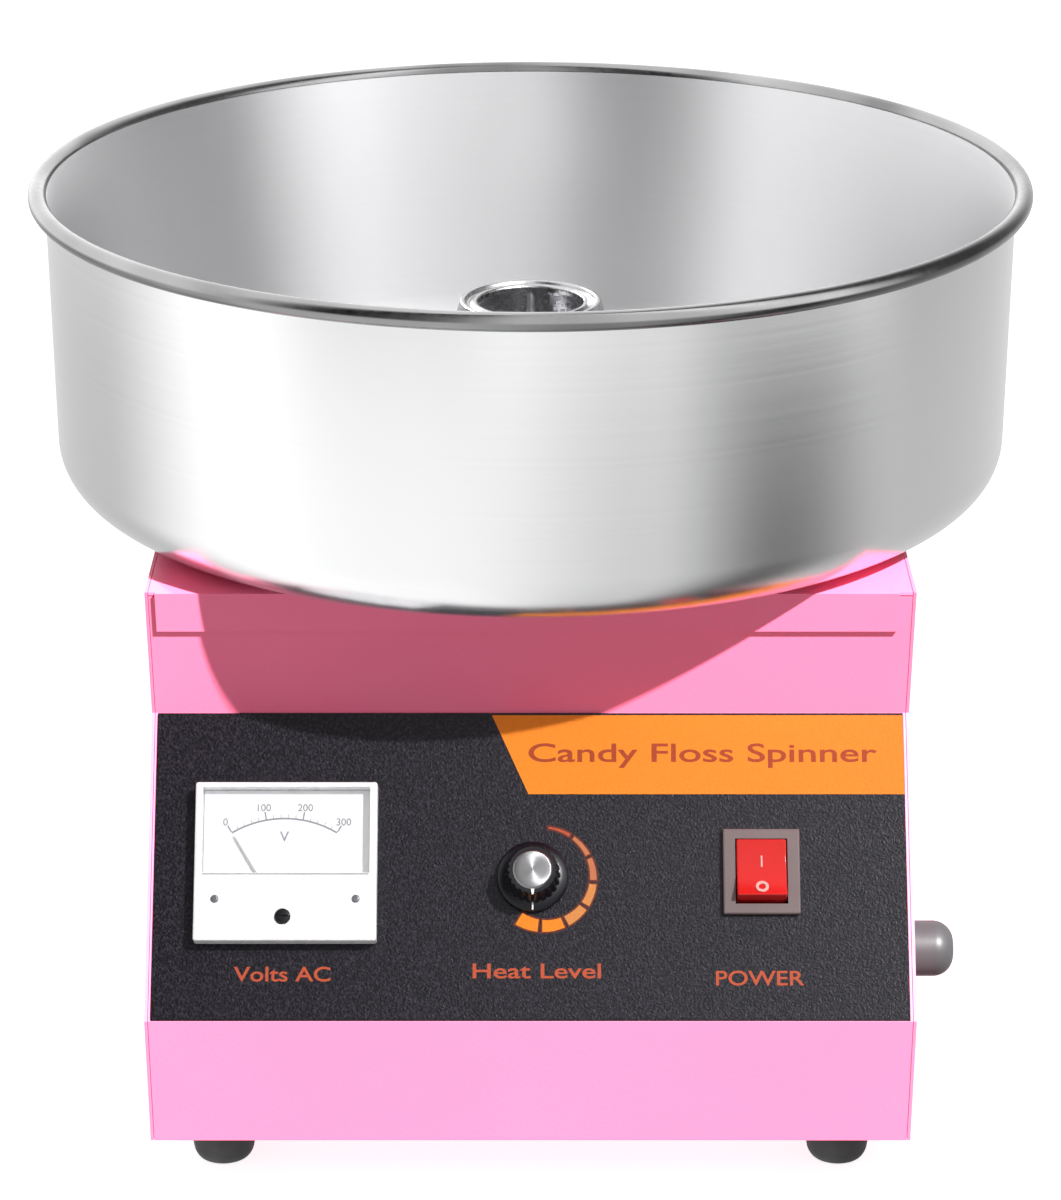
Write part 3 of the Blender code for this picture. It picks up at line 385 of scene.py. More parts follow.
def scaled(colour, factor):
    """A lighter or darker copy of a colour."""
    return tuple(min(1.0, part * factor) for part in colour)


def powder_coat():
    """Glossy powder coat with its fine orange peel and a faint unevenness of colour."""
    pink = (0.95, 0.17, 0.305)
    sheen = {"Specular_IOR_Level": 0.35, "Coat_Weight": 0.1, "Coat_Roughness": 0.25}
    made = principled("pink_powder_coat", pink, 0.38, **sheen)
    blended_colour(made, noise(made, 14, 3), scaled(pink, 0.96), scaled(pink, 1.04))
    varied_roughness(made, noise(made, 55, 2), 0.33, 0.44)
    return bumped(made, noise(made, 620, 1.5), 0.00005)


def label_film():
    """Textured dark polyester film: its grain catches the light through the bump, and lighter specks painted
    into its colour stand in for glints.
    """
    dark, painted_glint = (0.0030, 0.0022, 0.0050), (0.030, 0.024, 0.036)
    made = principled("panel_label", dark, 0.33, Specular_IOR_Level=0.20)
    # Painted glints: lighter specks mixed into the dark colour by noise.
    blended_colour(made, mapped(made, noise(made, 700, 4), 0, 1, 0.45, 0.72), dark, painted_glint)
    return bumped(made, noise(made, 900, 3), 0.00022)


def printed(name, colour, roughness=0.40):
    """Screen-printed ink, a little uneven, with the film's grain under it."""
    made = principled(name, colour, roughness, Specular_IOR_Level=0.22)
    blended_colour(made, noise(made, 300, 3), scaled(colour, 0.90), scaled(colour, 1.06))
    return bumped(made, noise(made, 800, 4), 0.00012)


def moulded(name, colour, roughness, grain=0.00003, scale=900, **sockets):
    """Moulded plastic or rubber with a fine surface grain."""
    made = principled(name, colour, roughness, **sockets)
    blended_colour(made, noise(made, 40, 3), scaled(colour, 0.88), scaled(colour, 1.12))
    varied_roughness(made, noise(made, 120, 2), roughness * 0.85, min(1.0, roughness * 1.15))
    return bumped(made, noise(made, scale, 2), grain)


def metal(name, colour, roughness, stretch=(1, 1, 1), grain=0.00001, scale=1400, **sockets):
    """Bare metal with machining or casting marks."""
    made = principled(name, colour, roughness, 1.0, **sockets)
    blended_colour(made, noise(made, 60, 3), scaled(colour, 0.92), scaled(colour, 1.06))
    varied_roughness(made, noise(made, 300, 3, stretch), roughness * 0.8, min(1.0, roughness * 1.25))
    return bumped(made, noise(made, scale, 2, stretch), grain)


def tangent_round_z(material):
    """Brushing that runs round the Z axis."""
    nodes, links = material.node_tree.nodes, material.node_tree.links
    tangent = nodes.new("ShaderNodeTangent")
    tangent.direction_type = "RADIAL"
    tangent.axis = "Z"
    links.new(tangent.outputs["Tangent"], shader_of(material).inputs["Tangent"])
    return material


def radius_and_height(material):
    """Distance from the Z axis and height, as the coordinates of marks that a lathe leaves."""
    nodes, links = material.node_tree.nodes, material.node_tree.links
    place = nodes.new("ShaderNodeTexCoord")
    parts = nodes.new("ShaderNodeSeparateXYZ")
    links.new(place.outputs["Object"], parts.inputs["Vector"])
    squares = []
    for axis in ("X", "Y"):
        square = nodes.new("ShaderNodeMath")
        square.operation = "MULTIPLY"
        links.new(parts.outputs[axis], square.inputs[0])
        links.new(parts.outputs[axis], square.inputs[1])
        squares.append(square)
    total = nodes.new("ShaderNodeMath")
    total.operation = "ADD"
    links.new(squares[0].outputs["Value"], total.inputs[0])
    links.new(squares[1].outputs["Value"], total.inputs[1])
    radius = nodes.new("ShaderNodeMath")
    radius.operation = "SQRT"
    links.new(total.outputs["Value"], radius.inputs[0])
    together = nodes.new("ShaderNodeCombineXYZ")
    links.new(radius.outputs["Value"], together.inputs["X"])
    links.new(parts.outputs["Z"], together.inputs["Z"])
    return together.outputs["Vector"]


def inside_of_pan(material):
    """One where the surface faces the pan's inside, and zero where it faces out or down."""
    nodes, links = material.node_tree.nodes, material.node_tree.links
    place = nodes.new("ShaderNodeTexCoord")
    inward = nodes.new("ShaderNodeVectorMath")
    inward.operation = "MULTIPLY_ADD"
    inward.inputs[1].default_value = (-1, -1, 0)
    inward.inputs[2].default_value = (0, 0, 0.05)
    facing_in = nodes.new("ShaderNodeVectorMath")
    facing_in.operation = "DOT_PRODUCT"
    is_inside = nodes.new("ShaderNodeMath")
    is_inside.operation = "GREATER_THAN"
    is_inside.inputs[1].default_value = 0
    links.new(place.outputs["Object"], inward.inputs[0])
    links.new(inward.outputs["Vector"], facing_in.inputs[0])
    links.new(place.outputs["Normal"], facing_in.inputs[1])
    links.new(facing_in.outputs["Value"], is_inside.inputs[0])
    return is_inside.outputs["Value"]


def spun_steel(name, outside_roughness, inside_roughness, anisotropy, grey):
    """Stainless steel with the fine rings of a spun surface, polished outside and brushed inside."""
    colour = (grey, grey, grey * 1.01)
    made = principled(name, colour, outside_roughness, 1.0, Anisotropic=anisotropy, Anisotropic_Rotation=0.25)
    nodes, links = made.node_tree.nodes, made.node_tree.links
    rings = nodes.new("ShaderNodeTexNoise")
    rings.inputs["Scale"].default_value = 450
    rings.inputs["Detail"].default_value = 3
    links.new(radius_and_height(made), rings.inputs["Vector"])
    blended_colour(made, rings.outputs["Fac"], scaled(colour, 0.98), scaled(colour, 1.02))
    base = mapped(made, inside_of_pan(made), outside_roughness, inside_roughness, 0, 1)
    uneven = nodes.new("ShaderNodeMath")
    uneven.operation = "MULTIPLY"
    links.new(base, uneven.inputs[0])
    links.new(mapped(made, rings.outputs["Fac"], 0.97, 1.03), uneven.inputs[1])
    links.new(uneven.outputs["Value"], shader_of(made).inputs["Roughness"])
    return tangent_round_z(made)


def rolled_rim():
    """The rim's bead, with darker and brighter stretches along its length painted into its colour as mottled
    reflections.
    """
    made = metal("rolled_rim", (0.24, 0.24, 0.242), 0.20)
    painted_dark_reflection, painted_bright_reflection = (0.15, 0.15, 0.152), (0.33, 0.33, 0.332)
    # Painted reflection: noise swaps the colour between darker and brighter stretches, standing in for
    # mottled reflections along the rim.
    blended_colour(made, mapped(made, noise(made, 9, 2), 0, 1, 0.35, 0.65), painted_dark_reflection, painted_bright_reflection)
    return made


def clear(name, colour, alpha):
    """Thin clear sheet or glass: mostly see-through, with a glossy face."""
    made = principled(name, colour, 0.05, Alpha=alpha, Specular_IOR_Level=0.8)
    return bumped(made, noise(made, 60, 1), 0.00001)


FINISHES = {
    "pink_powder_coat": powder_coat(),
    "bowl_steel": spun_steel("bowl_steel", 0.18, 0.45, 0.96, 0.82),
    "plain_steel": metal("plain_steel", (0.55, 0.55, 0.57), 0.35),
    "aluminium": metal("aluminium", (0.78, 0.78, 0.79), 0.32),
    "panel_label": label_film(),
    "black_rubber": moulded("black_rubber", (0.060, 0.060, 0.062), 0.62, 0.00008, 500),
    "black_plastic": moulded("black_plastic", (0.005, 0.005, 0.008), 0.30, Specular_IOR_Level=0.25),
    "grey_plastic": moulded("grey_plastic", (0.17, 0.125, 0.125), 0.45, Specular_IOR_Level=0.3),
    "white_plastic": moulded("white_plastic", (0.86, 0.86, 0.87), 0.28),
    "clear_acrylic": clear("clear_acrylic", (0.95, 0.97, 1.0), 0.06),
    "red_plastic": moulded("red_plastic", (0.60, 0.012, 0.010), 0.18, 0.00001, Specular_IOR_Level=0.3),
    "copper": metal("copper", (0.70, 0.30, 0.16), 0.35),
    "brass": metal("brass", (0.75, 0.55, 0.25), 0.28),
    "carbon": moulded("carbon", (0.03, 0.03, 0.03), 0.55),
    "circuit_board": moulded("circuit_board", (0.02, 0.14, 0.06), 0.40),
    "glass": clear("glass", (0.85, 0.92, 0.90), 0.25),
    "spun_aluminium": metal("spun_aluminium", (0.34, 0.34, 0.345), 0.26),
    "knob_cap": tangent_round_z(metal("knob_cap", (0.24, 0.24, 0.245), 0.36, Anisotropic=0.8)),
    "rolled_rim": rolled_rim(),
    "dull_screw": metal("dull_screw", (0.16, 0.16, 0.17), 0.45),
    "satin_plastic": moulded("satin_plastic", (0.045, 0.045, 0.047), 0.42, Specular_IOR_Level=0.30),
    "pale_needle": moulded("pale_needle", (0.35, 0.35, 0.36), 0.50),
}
INKS = {
    "orange": printed("ink_orange", (0.82, 0.225, 0.010)),
    "pale_orange": printed("ink_pale_orange", (0.62, 0.23, 0.060)),
    "salmon": printed("ink_salmon", (0.50, 0.16, 0.065)),
    "pale_red": printed("ink_pale_red", (0.80, 0.40, 0.36)),
    "red_orange": printed("ink_red_orange", (0.46, 0.075, 0.028)),
    "brown": printed("ink_brown", (0.34, 0.045, 0.008)),
    "grey": printed("ink_grey", (0.20, 0.20, 0.22)),
    "dark_red": printed("ink_dark_red", (0.12, 0.018, 0.008)),
    "white": printed("ink_white", (0.90, 0.85, 0.85)),
}


def finish_cad_nodes():
    """Gives each node of the frame its finish and, where it is sheet or moulding, soft edges."""
    slot_of = {}
    for entry in frame["record"]["materials"]:
        for node in entry.get("nodes", []):
            slot_of[node] = entry["slot"]
    for node, piece in frame["nodes"].items():
        old = piece.data.materials[0].name.split(".")[0] if piece.data.materials else ""
        slot_name = slot_of.get(node) or old
        piece.data.materials.clear()
        piece.data.materials.append(FINISHES.get(slot_name, FINISHES["plain_steel"]))
    sheet = ("top_cover", "front_panel", "left_side_panel", "right_side_panel", "rear_panel", "base_plate")
    for node in sheet:
        bevelled(frame["nodes"][node], 0.0003, 3)
    bevelled(frame["nodes"]["meter_case"], 0.0008, 3)
    bevelled(frame["nodes"]["switch_housing"], 0.0005, 3)
    frame["nodes"]["meter_needle"].data.materials[0] = FINISHES["pale_needle"]


# Bowl


def make_bowl():
    """The bowl: a deep-drawn pan with a rolled rim, a rounded foot and a raised lip round its centre hole."""
    low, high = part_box("floss_bowl")
    bead, sheet, corner, hole, neck = RIM_BEAD, BOWL_SHEET, BOWL_CORNER, BOWL_HOLE, BOWL_NECK
    rim_radius = high.x - bead
    rim_z = high.z - bead
    top_radius = rim_radius - BOWL_TAPER
    foot_radius = BOWL_FOOT_RADIUS
    bottom = low.z
    meets_wall = math.degrees(math.acos((top_radius - rim_radius) / bead))
    last = -meets_wall + 14
    rolled = arc((rim_radius, rim_z), bead, 176, last, 28)
    rolled += arc((rim_radius, rim_z), bead - sheet, last, 176, 28)
    turned("bowl_rolled_rim", rolled, FINISHES["rolled_rim"], "bowl", steps=256)
    outer = [(top_radius, rim_z), (top_radius, rim_z - bead)]
    outer += arc((foot_radius - corner, bottom + corner), corner, 0, -90, 18)
    outer += [(0.150, bottom), (0.146, bottom + 0.0008), (0.080, bottom + 0.0008), (0.077, bottom)]
    outer += softened([(0.060, bottom), (hole, bottom), (hole, bottom + neck)], 0.0012)
    inner = [(hole + sheet, bottom + neck)]
    inner += softened([
        (hole + sheet, bottom + neck - 0.001), (hole + sheet, bottom + sheet), (0.060, bottom + sheet),
    ], 0.002)
    inner += [(0.077, bottom + sheet), (0.080, bottom + 0.0016)]
    inner += [(0.146, bottom + 0.0016), (0.150, bottom + sheet)]
    inner += arc((foot_radius - corner, bottom + corner), corner - sheet, -90, 0, 18)
    inner += [(top_radius - sheet, rim_z - bead), (top_radius - sheet, rim_z)]
    profile = outer + inner
    bowl = turned("bowl_shell", profile, FINISHES["bowl_steel"], "bowl", steps=256)
    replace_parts(bowl, "floss_bowl")


def make_head():
    """The spinning head's turned parts, with smooth curves in place of the frame's facets."""
    cap_low, cap_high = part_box("head_cap")
    base_low, base_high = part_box("head_base")
    radius, top, foot = cap_high.x, cap_high.z, cap_low.z
    ring, mouth, groove = HEAD_RING, HEAD_MOUTH, HEAD_GROOVE
    cap = softened([
        (mouth + 0.0022, top - 0.0006), (mouth + 0.0036, top - groove), (ring - 0.0030, top - groove),
        (ring - 0.0022, top), (ring, top), (radius - 0.0010, foot + 0.0078), (radius, foot + 0.0048),
        (radius, foot),
    ], 0.0016, 6)
    cap += [(radius - 0.0020, foot)]
    cap += softened([
        (radius - 0.0020, foot + 0.0042), (radius - 0.0030, foot + 0.0067), (ring - 0.0020, top - 0.0040),
        (mouth, top - 0.0040),
    ], 0.0010)
    cap += arc((mouth + 0.0012, top - 0.0020), 0.0014, 200, 60, 8)
    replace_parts(turned("head_cap_smooth", cap, FINISHES["spun_aluminium"], "rotor"), "head_cap")
    outer, low, high = base_high.x, base_low.z, base_high.z
    bore = HEAD_BORE
    base = [(outer, high), (outer, low + 0.009)]
    base += softened([
        (outer, low + 0.0085), (outer, low + 0.007), (0.0090, low + 0.007), (0.0090, low),
    ], 0.0014)
    base += [(bore, low), (bore, low + 0.009), (outer - 0.0020, low + 0.009), (outer - 0.0020, high)]
    smooth_base = turned("head_base_smooth", base, FINISHES["spun_aluminium"], "rotor")
    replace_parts(smooth_base, "head_base")


def make_feet():
    """Tapered rubber feet, each with the screw that holds it in its recess."""
    screw = screw_mesh("foot_screw_head", 0.0052, 0.0028)
    for side in ("left", "right"):
        for end in ("front", "rear"):
            node = f"foot_{end}_{side}"
            low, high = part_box(node)
            middle = Vector(((low.x + high.x) / 2, (low.y + high.y) / 2, 0))
            radius, top = (high.x - low.x) / 2, high.z
            recess, bore, depth = FOOT_RECESS, FOOT_BORE, FOOT_DEPTH
            profile = [(bore, top)] + softened([
                (bore, top), (radius, top), (radius - 0.0005, 0.0120), (0.0145, 0.0036), (0.0122, 0),
                (recess, 0), (recess, depth), (bore, depth),
            ], 0.0028, 5)[1:]
            at = Matrix.Translation(middle)
            foot = turned(f"{node}_smooth", profile, FINISHES["black_rubber"], "root", at)
            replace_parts(foot, node)
            down = Matrix.Rotation(math.pi, 4, "X")
            place = Matrix.Translation(middle + Vector((0, 0, depth - 0.0001))) @ down
            steel = FINISHES["plain_steel"]
            add_piece(f"foot_screw_{end}_{side}", screw.copy(), steel, "root", place)


def screw_mesh(name, radius, height):
    """A pan-head screw's head on the XY plane, with a cross recess in its top."""
    rounding = height * 0.75
    profile = [(0, height)] + arc((radius - rounding, height - rounding), rounding, 88, 0, 8)
    profile += [(radius, 0), (0, 0)]
    head = bpy.data.objects.new(name, turned_mesh(name, profile, 48))
    bpy.context.scene.collection.objects.link(head)
    cutters = []
    slot, reach = radius * 0.26, radius * 1.15
    for turn in (0, math.pi / 2):
        blade = prism_mesh("blade", box_outline(reach, slot), height * 0.45, height * 2)
        blade.transform(Matrix.Rotation(turn, 4, "Z"))
        cutter = bpy.data.objects.new("blade", blade)
        bpy.context.scene.collection.objects.link(cutter)
        modifier = head.modifiers.new("recess", "BOOLEAN")
        modifier.operation = "DIFFERENCE"
        modifier.object = cutter
        cutters.append(cutter)
    bpy.context.view_layer.update()
    mesh = bpy.data.meshes.new_from_object(head.evaluated_get(bpy.context.evaluated_depsgraph_get()))
    for helper in (head, *cutters):
        bpy.data.objects.remove(helper)
    return mesh


def make_cabinet_screws():
    """Pan-head screws that hold the rear panel to the sides, and the base plate."""
    mesh = screw_mesh("cabinet_screw_head", 0.0036, 0.0020)
    low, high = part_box("rear_panel")
    inset = 0.010
    number = 0
    for x in (low.x + inset, high.x - inset):
        for share in (0.07, 0.5, 0.93):
            number += 1
            z = low.z + (high.z - low.z) * share
            at = facing((0, 1, 0), (x, high.y, z))
            add_piece(f"rear_screw_{number}", mesh.copy(), FINISHES["plain_steel"], "root", at)
    low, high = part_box("base_plate")
    inset = 0.012
    number = 0
    for x in (low.x + inset, high.x - inset):
        for y in (low.y + inset, (low.y + high.y) / 2, high.y - inset):
            number += 1
            at = facing((0, 0, -1), (x, y, low.z))
            add_piece(f"base_screw_{number}", mesh.copy(), FINISHES["plain_steel"], "root", at)


# Control label and its print


def print_shape(name, outline, ink, level=LABEL_FACE, thickness=PRINT_THICKNESS, at=(0, 0)):
    mesh = prism_mesh(name, outline, 0, thickness)
    return add_piece(name, mesh, ink, "root", on_panel(at, level))


def make_label_print():
    """The orange flag, the label's dark edges and the controls' names."""
    flag = [(-0.0186, 0.1490), (-0.0010, 0.1100), (0.1798, 0.1100), (0.1798, 0.1490)]
    print_shape("label_flag", flag, INKS["orange"])
    half_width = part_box("control_label")[1].x
    for name, low, high in (("top", 0.1492, 0.1502), ("foot", 0.0003, 0.0012)):
        edging = box_outline(2 * half_width, high - low, (0, (low + high) / 2))
        print_shape(f"label_edging_{name}", edging, FINISHES["panel_label"], level=0.0001, thickness=0.0003)
    above = LABEL_FACE + PRINT_THICKNESS
    words = (
        ("label_title", "Candy Floss Spinner", 0.0122, 0.168, (0.0830, 0.1290), INKS["brown"], above),
        ("label_volts", "Volts AC", 0.0072, 0.046, (-0.1180, 0.0226), INKS["red_orange"], LABEL_FACE),
        ("label_heat", "Heat Level", 0.0072, 0.061, (0.0030, 0.0241), INKS["red_orange"], LABEL_FACE),
        ("label_power", "POWER", 0.0072, 0.042, (0.1090, 0.0207), INKS["red_orange"], LABEL_FACE),
    )
    for name, text, height, width, centre, ink, level in words:
        text_piece(name, text, height, width, centre, ink, level)


def make_heat_scale():
    """A crescent of seven steps round the knob that widens clockwise from 12 o'clock."""
    centre, outer = (0.0060, 0.0685), 0.0256
    inks = ("red_orange", "salmon", "salmon", "pale_orange", "pale_orange", "orange", "orange")
    start_deg, step_deg, gap_deg, steps = 6, 30, 5, len(inks)
    thin, thick, outline_width = 0.0008, 0.0068, 0.0008

    def band(first, last, grow):
        """The band between two clock angles, as an outline, with its edges moved out by grow."""
        clock = [first + (last - first) * i / 8 for i in range(9)]
        outside = []
        inside = []
        for degrees in clock:
            share = (degrees - start_deg) / (step_deg * steps)
            width = thin + (thick - thin) * share
            angle = math.radians(90 - degrees)
            outside.append(((outer + grow) * math.cos(angle), (outer + grow) * math.sin(angle)))
            inner = outer - width - grow
            inside.append((inner * math.cos(angle), inner * math.sin(angle)))
        return outside + inside[::-1]

    for number in range(steps):
        first = start_deg + step_deg * number
        last = first + step_deg - gap_deg
        edge_deg = math.degrees(outline_width / outer)
        border = band(first - edge_deg, last + edge_deg, outline_width)
        print_shape(f"heat_step_border_{number + 1}", border, INKS["dark_red"], at=centre)
        above = LABEL_FACE + PRINT_THICKNESS
        print_shape(f"heat_step_{number + 1}", band(first, last, 0), INKS[inks[number]], above, at=centre)


# Meter


def make_meter_print():
    """The dial's arc, ticks and numbers, which ride on the dial plate behind the window."""
    def polar(radius, clock_deg):
        angle = math.radians(90 - clock_deg)
        return (radius * math.cos(angle), radius * math.sin(angle))

    sweep = DIAL_SWEEP_DEG
    clocks = [-sweep + 2 * sweep * i / 40 for i in range(41)]
    half_line = 0.00045
    line = [polar(DIAL_RADIUS + half_line, c) for c in clocks]
    line += [polar(DIAL_RADIUS - half_line, c) for c in reversed(clocks)]
    place = {"level": DIAL_FACE, "at": NEEDLE_PIVOT}
    print_shape("meter_arc", line, INKS["grey"], **place)
    divisions = 15
    for i in range(divisions + 1):
        clock = -sweep + 2 * sweep * i / divisions
        major = i % 5 == 0
        length, half = (0.0036, 0.00035) if major else (0.0016, 0.00014)
        half_deg = math.degrees(half / DIAL_RADIUS)
        inner, outer = DIAL_RADIUS + half_line, DIAL_RADIUS + half_line + length
        tick = [polar(inner, clock - half_deg), polar(outer, clock - half_deg)]
        tick += [polar(outer, clock + half_deg), polar(inner, clock + half_deg)]
        print_shape(f"meter_tick_{i:02d}", tick, INKS["grey"], **place)
    for i, number in enumerate(("0", "100", "200", "300")):
        x, y = polar(DIAL_RADIUS + 0.0062, -sweep + 2 * sweep * i / 3)
        centre = (NEEDLE_PIVOT[0] + x, NEEDLE_PIVOT[1] + y)
        text_piece(f"meter_number_{number}", number, 0.0036, 0, centre, INKS["grey"], DIAL_FACE)
    unit_place = (NEEDLE_PIVOT[0], 0.0885)
    text_piece("meter_unit", "V", 0.0050, 0, unit_place, INKS["grey"], DIAL_FACE)
    divider = box_outline(METER_SIZE[0] - 0.008, 0.0005, (METER_CENTRE[0], METER_DIVIDER))
    print_shape("meter_divider", divider, INKS["grey"], level=METER_FACE - 0.0003)


def make_meter_screws():
    """The two screws in the meter's lower half."""
    mesh = screw_mesh("meter_screw_head", 0.0019, 0.0010)
    for side, across in (("left", -0.1500), ("right", -0.0830)):
        at = on_panel((across, 0.0570), METER_FACE - 0.0003)
        add_piece(f"meter_screw_{side}", mesh.copy(), FINISHES["dull_screw"], "root", at)


def make_zero_screw():
    """The slotted screw that sets the needle to zero."""
    low, top, radius = 0.0082, 0.0125, 0.0036
    profile = [(0, top)] + arc((radius - 0.0008, top - 0.0008), 0.0008, 90, 0, 5) + [(radius, low), (0, low)]
    mesh = slotted(turned_mesh("zero_screw", profile, 48), 0.0080, 0.0009, top - 0.0009)
    screw = add_piece("zero_screw_smooth", mesh, FINISHES["black_plastic"], "zero_screw",
                      on_panel(NEEDLE_PIVOT))
    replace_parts(screw, "meter_zero_screw")


def slotted(mesh, length, width, floor):
    """The mesh with a straight slot across its top, down to floor."""
    head = bpy.data.objects.new("slotted", mesh)
    cutter = bpy.data.objects.new("slot", prism_mesh("slot", box_outline(length, width), floor, floor + 0.01))
    for helper in (head, cutter):
        bpy.context.scene.collection.objects.link(helper)
    modifier = head.modifiers.new("slot", "BOOLEAN")
    modifier.operation = "DIFFERENCE"
    modifier.object = cutter
    bpy.context.view_layer.update()
    cut = bpy.data.meshes.new_from_object(head.evaluated_get(bpy.context.evaluated_depsgraph_get()))
    for helper in (head, cutter):
        bpy.data.objects.remove(helper)
    return cut


# Knob, switch, fuse and gland


def make_knob():
    """A fluted black knob on a round skirt that is hollow over the nut, with a pointer and a metal cap."""
    skirt, skirt_low, skirt_top, top = 0.0170, 0.0016, 0.0038, 0.0205
    outline = [(KNOB_RECESS, 0.0060)]
    outline += softened([
        (0.0130, 0.0060), (0.0160, 0.0046), (skirt, skirt_top), (skirt, skirt_low), (0.0145, skirt_low),
    ], 0.0010)
    outline += [(KNOB_RECESS, skirt_low)]
    lower = turned_mesh("knob_skirt", outline)
    place = on_panel(KNOB_AXIS)
    add_and_replace("knob_skirt", lower, "black_plastic", "knob", place, "temperature_knob")
    levels = softened([(0.0134, 0.0055), (0.0126, 0.0120), (0.0120, top - 0.0008), (0.0110, top)], 0.0008)
    shape = bmesh.new()
    steps, flutes, depth = 264, 22, 0.0009
    rings = []
    for radius, height in levels:
        ring = []
        for i in range(steps):
            angle = math.tau * i / steps
            groove = depth * (0.5 - 0.5 * math.cos(flutes * angle)) ** 2
            reach = radius - groove * min(1.0, (top - height) / 0.0012)
            ring.append(shape.verts.new((reach * math.cos(angle), reach * math.sin(angle), height)))
        rings.append(ring)
    for lower_ring, upper_ring in zip(rings, rings[1:]):
        for i in range(steps):
            j = (i + 1) % steps
            shape.faces.new([lower_ring[i], lower_ring[j], upper_ring[j], upper_ring[i]])
    shape.faces.new(rings[0][::-1])
    shape.faces.new(rings[-1])
    grip = mesh_from(shape, "knob_grip")
    add_piece("knob_grip", grip, FINISHES["black_plastic"], "knob", place)
    cap = [(0, top + 0.0014)]
    cap += softened([(0.0060, top + 0.0014), (0.0088, top + 0.0012), (0.0095, top + 0.0003)], 0.0006)
    cap += [(0.0095, top + 0.0001), (0, top + 0.0001)]
    cap_mesh = turned_mesh("knob_cap_smooth", cap)
    add_and_replace("knob_cap_smooth", cap_mesh, "knob_cap", "knob", place, "knob_cap")
    wedge = [(-0.0011, -0.0070), (-0.0004, -0.0120), (0.0004, -0.0120), (0.0011, -0.0070)]
    pointer = prism_mesh("knob_pointer", wedge, top, top + 0.0004)
    add_piece("knob_pointer", pointer, FINISHES["aluminium"], "knob", place)
    side = prism_mesh("knob_line", box_outline(0.0008, 0.0036, (0, -0.0148)), 0.0050, 0.0062)
    add_piece("knob_line", side, INKS["white"], "knob", place)


def add_and_replace(name, mesh, finish_name, body, matrix, node):
    """Adds the mesh as a piece that stands in for a node of the frame."""
    piece = add_piece(name, mesh, FINISHES[finish_name], body, matrix)
    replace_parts(piece, node)
    return piece


def make_rocker():
    """The rocker with a hollowed top, pressed at its upper end, and its two printed marks."""
    tilt = Matrix.Rotation(math.radians(-10), 4, "X")
    half, width, depth, crown, dip = 0.0142, 0.0238, -0.0075, 0.0080, 0.0052
    hollow = [(half * (1 - 2 * i / 16), dip + (crown - dip) * (1 - 2 * i / 16) ** 2) for i in range(17)]
    outline = [(-half, depth), (half, depth)] + hollow
    mesh = prism_mesh("rocker_smooth", outline, -width / 2, width / 2)
    along_x = Matrix(((0, 0, 1, 0), (1, 0, 0, 0), (0, 1, 0, 0), (0, 0, 0, 1)))
    place = on_panel(SWITCH_CENTRE) @ tilt
    mesh.transform(along_x)
    rocker = add_piece("rocker_smooth", mesh, FINISHES["red_plastic"], "rocker", place)
    bevelled(rocker, 0.0007, 4, 40)
    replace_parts(rocker, "switch_rocker")

    def on_surface(along):
        """A place on the hollowed top, lying along its slope."""
        height = dip + (crown - dip) * (along / half) ** 2
        slope = math.atan(2 * (crown - dip) * along / half ** 2)
        return place @ Matrix.Translation((0, along, height)) @ Matrix.Rotation(slope, 4, "X")

    bar = prism_mesh("rocker_on_mark", box_outline(0.0008, 0.0056), 0.0001, 0.0005)
    add_piece("rocker_on_mark", bar, INKS["pale_red"], "rocker", on_surface(0.0036))
    ring = [(0.0031, 0.0006), (0.0031, 0), (0.0017, 0), (0.0017, 0.0006)]
    turned("rocker_off_mark", ring, INKS["pale_red"], "rocker", on_surface(-0.0098))


def make_fuse():
    """The fuse holder's slotted cap on the right-hand side panel."""
    low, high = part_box("fuse_cap")
    radius = (high.y - low.y) / 2
    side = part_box("right_side_panel")[1].x
    at = facing((1, 0, 0), (side, (low.y + high.y) / 2, (low.z + high.z) / 2))
    end = high.x - side
    rounding = 0.0100
    cap = [(0, end)] + arc((radius - rounding, end - rounding), rounding, 90, 0, 16)
    cap += softened([(radius, 0.0060), (radius, 0.0036), (0.0070, 0.0036)], 0.0008)
    cap += [(0.0070, -0.0240), (0.0036, -0.0240), (0.0036, -0.0020), (0, -0.0020)]
    mesh = slotted(turned_mesh("fuse_cap_smooth", cap), 0.0150, 0.0014, end - 0.0014)
    piece = add_piece("fuse_cap_smooth", mesh, FINISHES["satin_plastic"], "fuse_cap", at)
    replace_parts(piece, "fuse_cap")


def make_gland():
    """The rubber gland in the rear panel, where a cord would leave."""
    low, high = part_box("cord_gland")
    middle = ((low.x + high.x) / 2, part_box("rear_panel")[1].y, (low.z + high.z) / 2)
    profile = softened([
        (0.0050, 0.0140), (0.0080, 0.0120), (0.0105, 0.0020), (0.0130, 0.0020), (0.0130, 0.0003),
        (0.0084, 0.0003),
        (0.0084, -0.0100), (0.0050, -0.0100),
    ], 0.0008, 4, closed=True)
    at = facing((0, 1, 0), middle)
    gland = turned("cord_gland_smooth", profile, FINISHES["black_rubber"], "root", at)
    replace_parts(gland, "cord_gland")


# Studio and camera


def camera():
    """The camera at the front, looking down at the machine."""
    data = bpy.data.cameras.new("camera")
    data.lens = CAMERA_LENS_MM
    data.sensor_width = 36
    made = bpy.data.objects.new("camera", data)
    made.location = CAMERA_PLACE
    made.rotation_euler = (math.radians(90 - CAMERA_PITCH_DEG), 0, 0)
    bpy.context.scene.collection.objects.link(made)
    bpy.context.scene.camera = made


def unseen_except(obj, *rays):
    """Keeps the object visible to the named kinds of ray only."""
    for ray in ("camera", "diffuse", "glossy", "transmission", "volume_scatter", "shadow"):
        setattr(obj, f"visible_{ray}", ray in rays)


